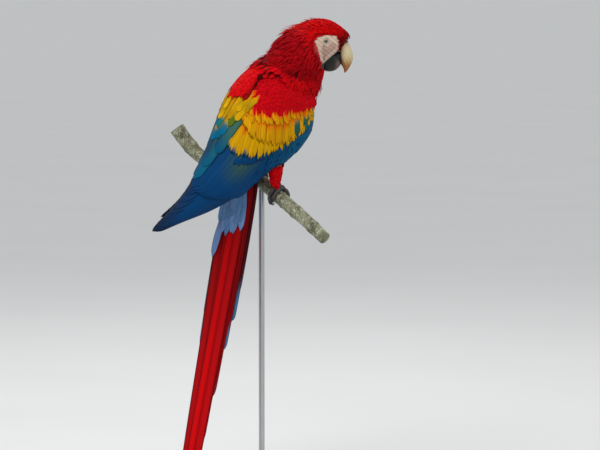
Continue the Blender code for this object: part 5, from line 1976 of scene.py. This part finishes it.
for side, word in SIDES:
    foot = foot_place(side)
    for name, (way, root, tip, length, radius, joints) in TOES.items():
        toe = toe_tube(foot, way, root, tip, length, radius, joints)
        piece(f"{name}_{word}", toe, foot_skin, (f"{word}_{name}",), foot_tints)
        claw = claw_tube(foot, way, tip, length, radius)
        piece(f"claw_{name}_{word}", claw, claw_horn, (f"{word}_{name}_claw",), claw_tints)
    shank = shank_tube(side)
    piece(f"shank_scales_{word}", shank, foot_skin, (f"shank_{word}",), foot_tints)

# %% [markdown]
# ## The branch
# The perch is a cut length of a thin live branch, grey and olive with pale crusts of lichen. It is a
# tube with many rings, pushed in and out by noise: long low ridges along the grain, and a few knots.

# %% The branch's line and finish


def branch_path(count):
    """The branch's middle line, from its bent left end past both feet to its right end."""
    left_foot = foot_place(1)
    points = (
        (-8.6, 21.6, 11.0),
        (-6.9, 19.9, 7.8),
        (-4.9, 17.6, 5.0),
        (-3.5, 11.0, 3.5),
        left_foot - PERCH_WAY * 3.0 + np.array((0.0, 0.0, -0.2)),
        left_foot,
        (left_foot + RIGHT_FOOT) / 2,
        RIGHT_FOOT,
        RIGHT_FOOT + PERCH_WAY * PERCH_PAST_FOOT / 3,
        RIGHT_FOOT + PERCH_WAY * PERCH_PAST_FOOT * 2 / 3 + np.array((0.1, 0.0, -0.1)),
        RIGHT_FOOT + PERCH_WAY * PERCH_PAST_FOOT + np.array((0.3, 0.0, -0.5)),
    )
    return path_through(points, count)


def bark_finish():
    finish, tree, shader = new_finish("bark", 0.88)
    rough = {"Scale": 420.0, "Detail": 6.0, "Roughness": 0.7}
    grain = texture_node(tree, "ShaderNodeTexNoise", own_places(tree), rough).outputs[0]
    tint_by(tree, shader, math_node(tree, "MULTIPLY_ADD", grain, 1.3, 0.35))
    bump_by(tree, shader, grain, 0.8, 0.0012)
    return finish


def noise_at(points, scale):
    return np.array([noise.noise(Vector(p) * scale) for p in points])


# %% Knots, ridges and lichen
RINGS = 260
KNOTS = (0.12, 0.34, 0.82, 0.93)
path = branch_path(RINGS)
steps = np.linspace(0, 1, RINGS)
radii = PERCH_RADIUS * smooth_curve(((0.0, 1.12), (0.25, 1.0), (0.7, 1.0), (1.0, 0.9)), steps)
for knot in KNOTS:
    radii = radii * (1 + 0.09 * np.exp(-(((steps - knot) / 0.012) ** 2)))
bm = tube(path, radii, 44)
bm.normal_update()
for vert in bm.verts:
    place = bird(np.array(vert.co))
    near = int(np.argmin(np.linalg.norm(path - place, axis=1)))
    if 0 < near < RINGS - 1:
        around = unit(place - path[near])
        ridge = noise.noise(Vector(around * 3.2 + PERCH_WAY * near / RINGS * 7)) * 0.09
        crust = noise.noise(Vector(place * 3.1)) * 0.05
        place = place + around * (ridge + crust - 0.03)
        vert.co = room(place)


def bark_tints(places):
    broad, patch = noise_at(places, 0.35), noise_at(places + 31.0, 0.9)
    speck = noise_at(places + 77.0, 4.5)
    tints = mix(paint(136, 136, 108), paint(92, 90, 68), ease(broad, -0.4, 0.4))
    tints = mix(tints, paint(116, 128, 88), ease(patch, 0.05, 0.5) * 0.6)
    tints = mix(tints, paint(196, 196, 174), ease(patch * 0.6 + speck, 0.05, 0.5) * 0.65)
    return mix(tints, paint(40, 36, 30), ease(-speck, 0.22, 0.5) * 0.8)


piece("branch", bm, bark_finish(), ("perch",), bark_tints)

# %% [markdown]
# ## The display stand
# A turned disc of dark wood and one steel rod carry the branch. The disc's profile is spun once round,
# with a small step and a rounded rim, as a lathe would cut it.

# %% Finishes of the stand
BASE_RADIUS = 15.0
BASE_THICK = 1.8
ROD_RADIUS = 0.6
COLLAR_RADIUS = 1.2


def wood_finish():
    """Varnished dark wood with its grain along the room's y."""
    finish, tree, shader = new_finish("stand wood", 0.38, Coat_Weight=0.3, Coat_Roughness=0.2)
    wavy = {"Scale": 3.0, "Detail": 8.0, "Roughness": 0.62, "Distortion": 0.6}
    rings = texture_node(tree, "ShaderNodeTexNoise", own_places(tree, (14.0, 1.6, 14.0)), wavy).outputs[0]
    ramp_by(tree, shader, rings, paint(58, 34, 22), paint(112, 70, 44), 0.35, 0.68)
    bump_by(tree, shader, rings, 0.15, 0.0005)
    return finish


def steel_finish():
    """Steel brushed along its height."""
    finish, tree, shader = new_finish("stand steel", 0.32, Metallic=1.0)
    drawn = own_places(tree, (900.0, 900.0, 40.0))
    brushed = texture_node(tree, "ShaderNodeTexNoise", drawn, {"Scale": 1.0}).outputs[0]
    ramp_by(tree, shader, brushed, (0.36, 0.36, 0.37), (0.6, 0.6, 0.61))
    bump_by(tree, shader, brushed, 0.1, 0.0002)
    return finish


# %% Turn the base and draw the rod
bm = bmesh.new()
rim = (  # in from the disc's edge, and up
    (0.3, 0.0), (0.08, 0.08), (0.0, 0.3), (0.0, 1.0), (0.14, 1.24), (0.5, 1.36),
    (0.7, 1.4), (0.8, 1.5), (0.9, 1.68), (1.1, 1.77), (1.4, BASE_THICK),
)
profile = [(0.0, 0.0), *((BASE_RADIUS - inset, up) for inset, up in rim), (0.0, BASE_THICK)]
verts = [bm.verts.new((x * CM, 0, z * CM)) for x, z in profile]
edges = [bm.edges.new(pair) for pair in zip(verts, verts[1:])]
spin_round(bm, verts + edges, (0, 0, 1), 120)
bmesh.ops.remove_doubles(bm, verts=bm.verts, dist=1e-6)
bmesh.ops.recalc_face_normals(bm, faces=bm.faces)
base = piece("base_disc", bm, wood_finish(), ("stand_base",))
base.data.set_sharp_from_angle(angle=math.radians(40))

seat = RIGHT_FOOT - PERCH_WAY * ROD_BEFORE_FOOT
foot_up = BASE_THICK - PERCH_HEIGHT
turned = (  # up from the disc, and radius
    (0.0, COLLAR_RADIUS - 0.05), (0.06, COLLAR_RADIUS), (0.9, COLLAR_RADIUS),
    (1.0, COLLAR_RADIUS - 0.1), (1.04, ROD_RADIUS), (seat[2] - 0.6 - foot_up, ROD_RADIUS),
)
path = np.array([(seat[0], seat[1], foot_up + up) for up, _ in turned])
bm = tube(path, [radius for _, radius in turned], 48)
rod = piece("rod", bm, steel_finish(), ("stand_rod",))
rod.data.set_sharp_from_angle(angle=math.radians(35))

# %% [markdown]
# ## Floor, light and camera
# The stand is on a plain pale floor in soft studio light: one large key, a weaker fill, a rim from the
# bird's other side and an even pale surround. The camera looks at the bird's back from behind its right
# side, from a little above, through a long lens.

# %% Floor and surround


def floor_finish():
    finish, tree, shader = new_finish("studio floor", 0.7)
    cloud = texture_node(tree, "ShaderNodeTexNoise", own_places(tree), {"Scale": 2.0})
    ramp_by(tree, shader, cloud.outputs[0], (0.72, 0.72, 0.71), (0.76, 0.76, 0.75))
    return finish


bm = bmesh.new()
bmesh.ops.create_grid(bm, x_segments=1, y_segments=1, size=150.0)
mesh = bpy.data.meshes.new("floor")
bm.to_mesh(mesh)
bm.free()
floor = bpy.data.objects.new("floor", mesh)
floor.location.z = -0.0005
mesh.materials.append(floor_finish())
bpy.context.scene.collection.objects.link(floor)
floor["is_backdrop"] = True

world = bpy.data.worlds.new("studio")
world.use_nodes = True
world.node_tree.nodes["Background"].inputs[0].default_value = (0.86, 0.88, 0.9, 1)
world.node_tree.nodes["Background"].inputs[1].default_value = 0.78
bpy.context.scene.world = world
bpy.context.scene.view_settings.view_transform = "Standard"


# %% Lights and camera


def outward(azimuth, elevation):
    """The way out from the bird, for angles in degrees. 0 looks at the room's front and 90 at its right."""
    a, e = math.radians(azimuth), math.radians(elevation)
    return Vector((math.sin(a) * math.cos(e), -math.cos(a) * math.cos(e), math.sin(e)))


def looking_in(name, data, target, away, distance):
    """A light or camera so far away from its target, and turned to it."""
    made = bpy.data.objects.new(name, data)
    made.location = target + away * distance
    made.rotation_euler = away.to_track_quat("Z", "Y").to_euler()
    bpy.context.scene.collection.objects.link(made)
    return made


def soft_light(name, azimuth, elevation, distance, size, power):
    """A square area light that looks at the bird's body."""
    data = bpy.data.lights.new(name, "AREA")
    data.shape, data.size, data.energy = "SQUARE", size, power
    target = Vector(room((0.0, 0.0, 10.0)))
    light = looking_in(name, data, target, outward(azimuth, elevation), distance)
    light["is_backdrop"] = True


soft_light("key", 200.0, 50.0, 2.6, 1.4, 34.0)
soft_light("fill", 290.0, 20.0, 3.2, 2.0, 10.0)
soft_light("rim", 60.0, 45.0, 3.0, 1.4, 26.0)

CAMERA_FAR = 6.5
FRAME_WIDE = 1.23  # metres across the picture at the bird
SENSOR_WIDE = 36.0
away = outward(235.0, 5.0)
right = unit(np.cross(bird_way(np.array(away)), (0.0, 0.0, -1.0)))
upward = np.cross(right, -bird_way(np.array(away)))
target = Vector(room(right * 6.26 - upward * 8.1))
data = bpy.data.cameras.new("camera")
data.sensor_width = SENSOR_WIDE
data.lens = SENSOR_WIDE * CAMERA_FAR / FRAME_WIDE
data.clip_end = 400.0
bpy.context.scene.camera = looking_in("camera", data, target, away, CAMERA_FAR)

# %% Finish and print the sizes
shown_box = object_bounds()
sizes = {"cad": [list(map(float, c)) for c in cad_box], "visual": [list(map(float, c)) for c in shown_box]}
print("box of the solids:", sizes["cad"])
print("box of the pieces:", sizes["visual"])
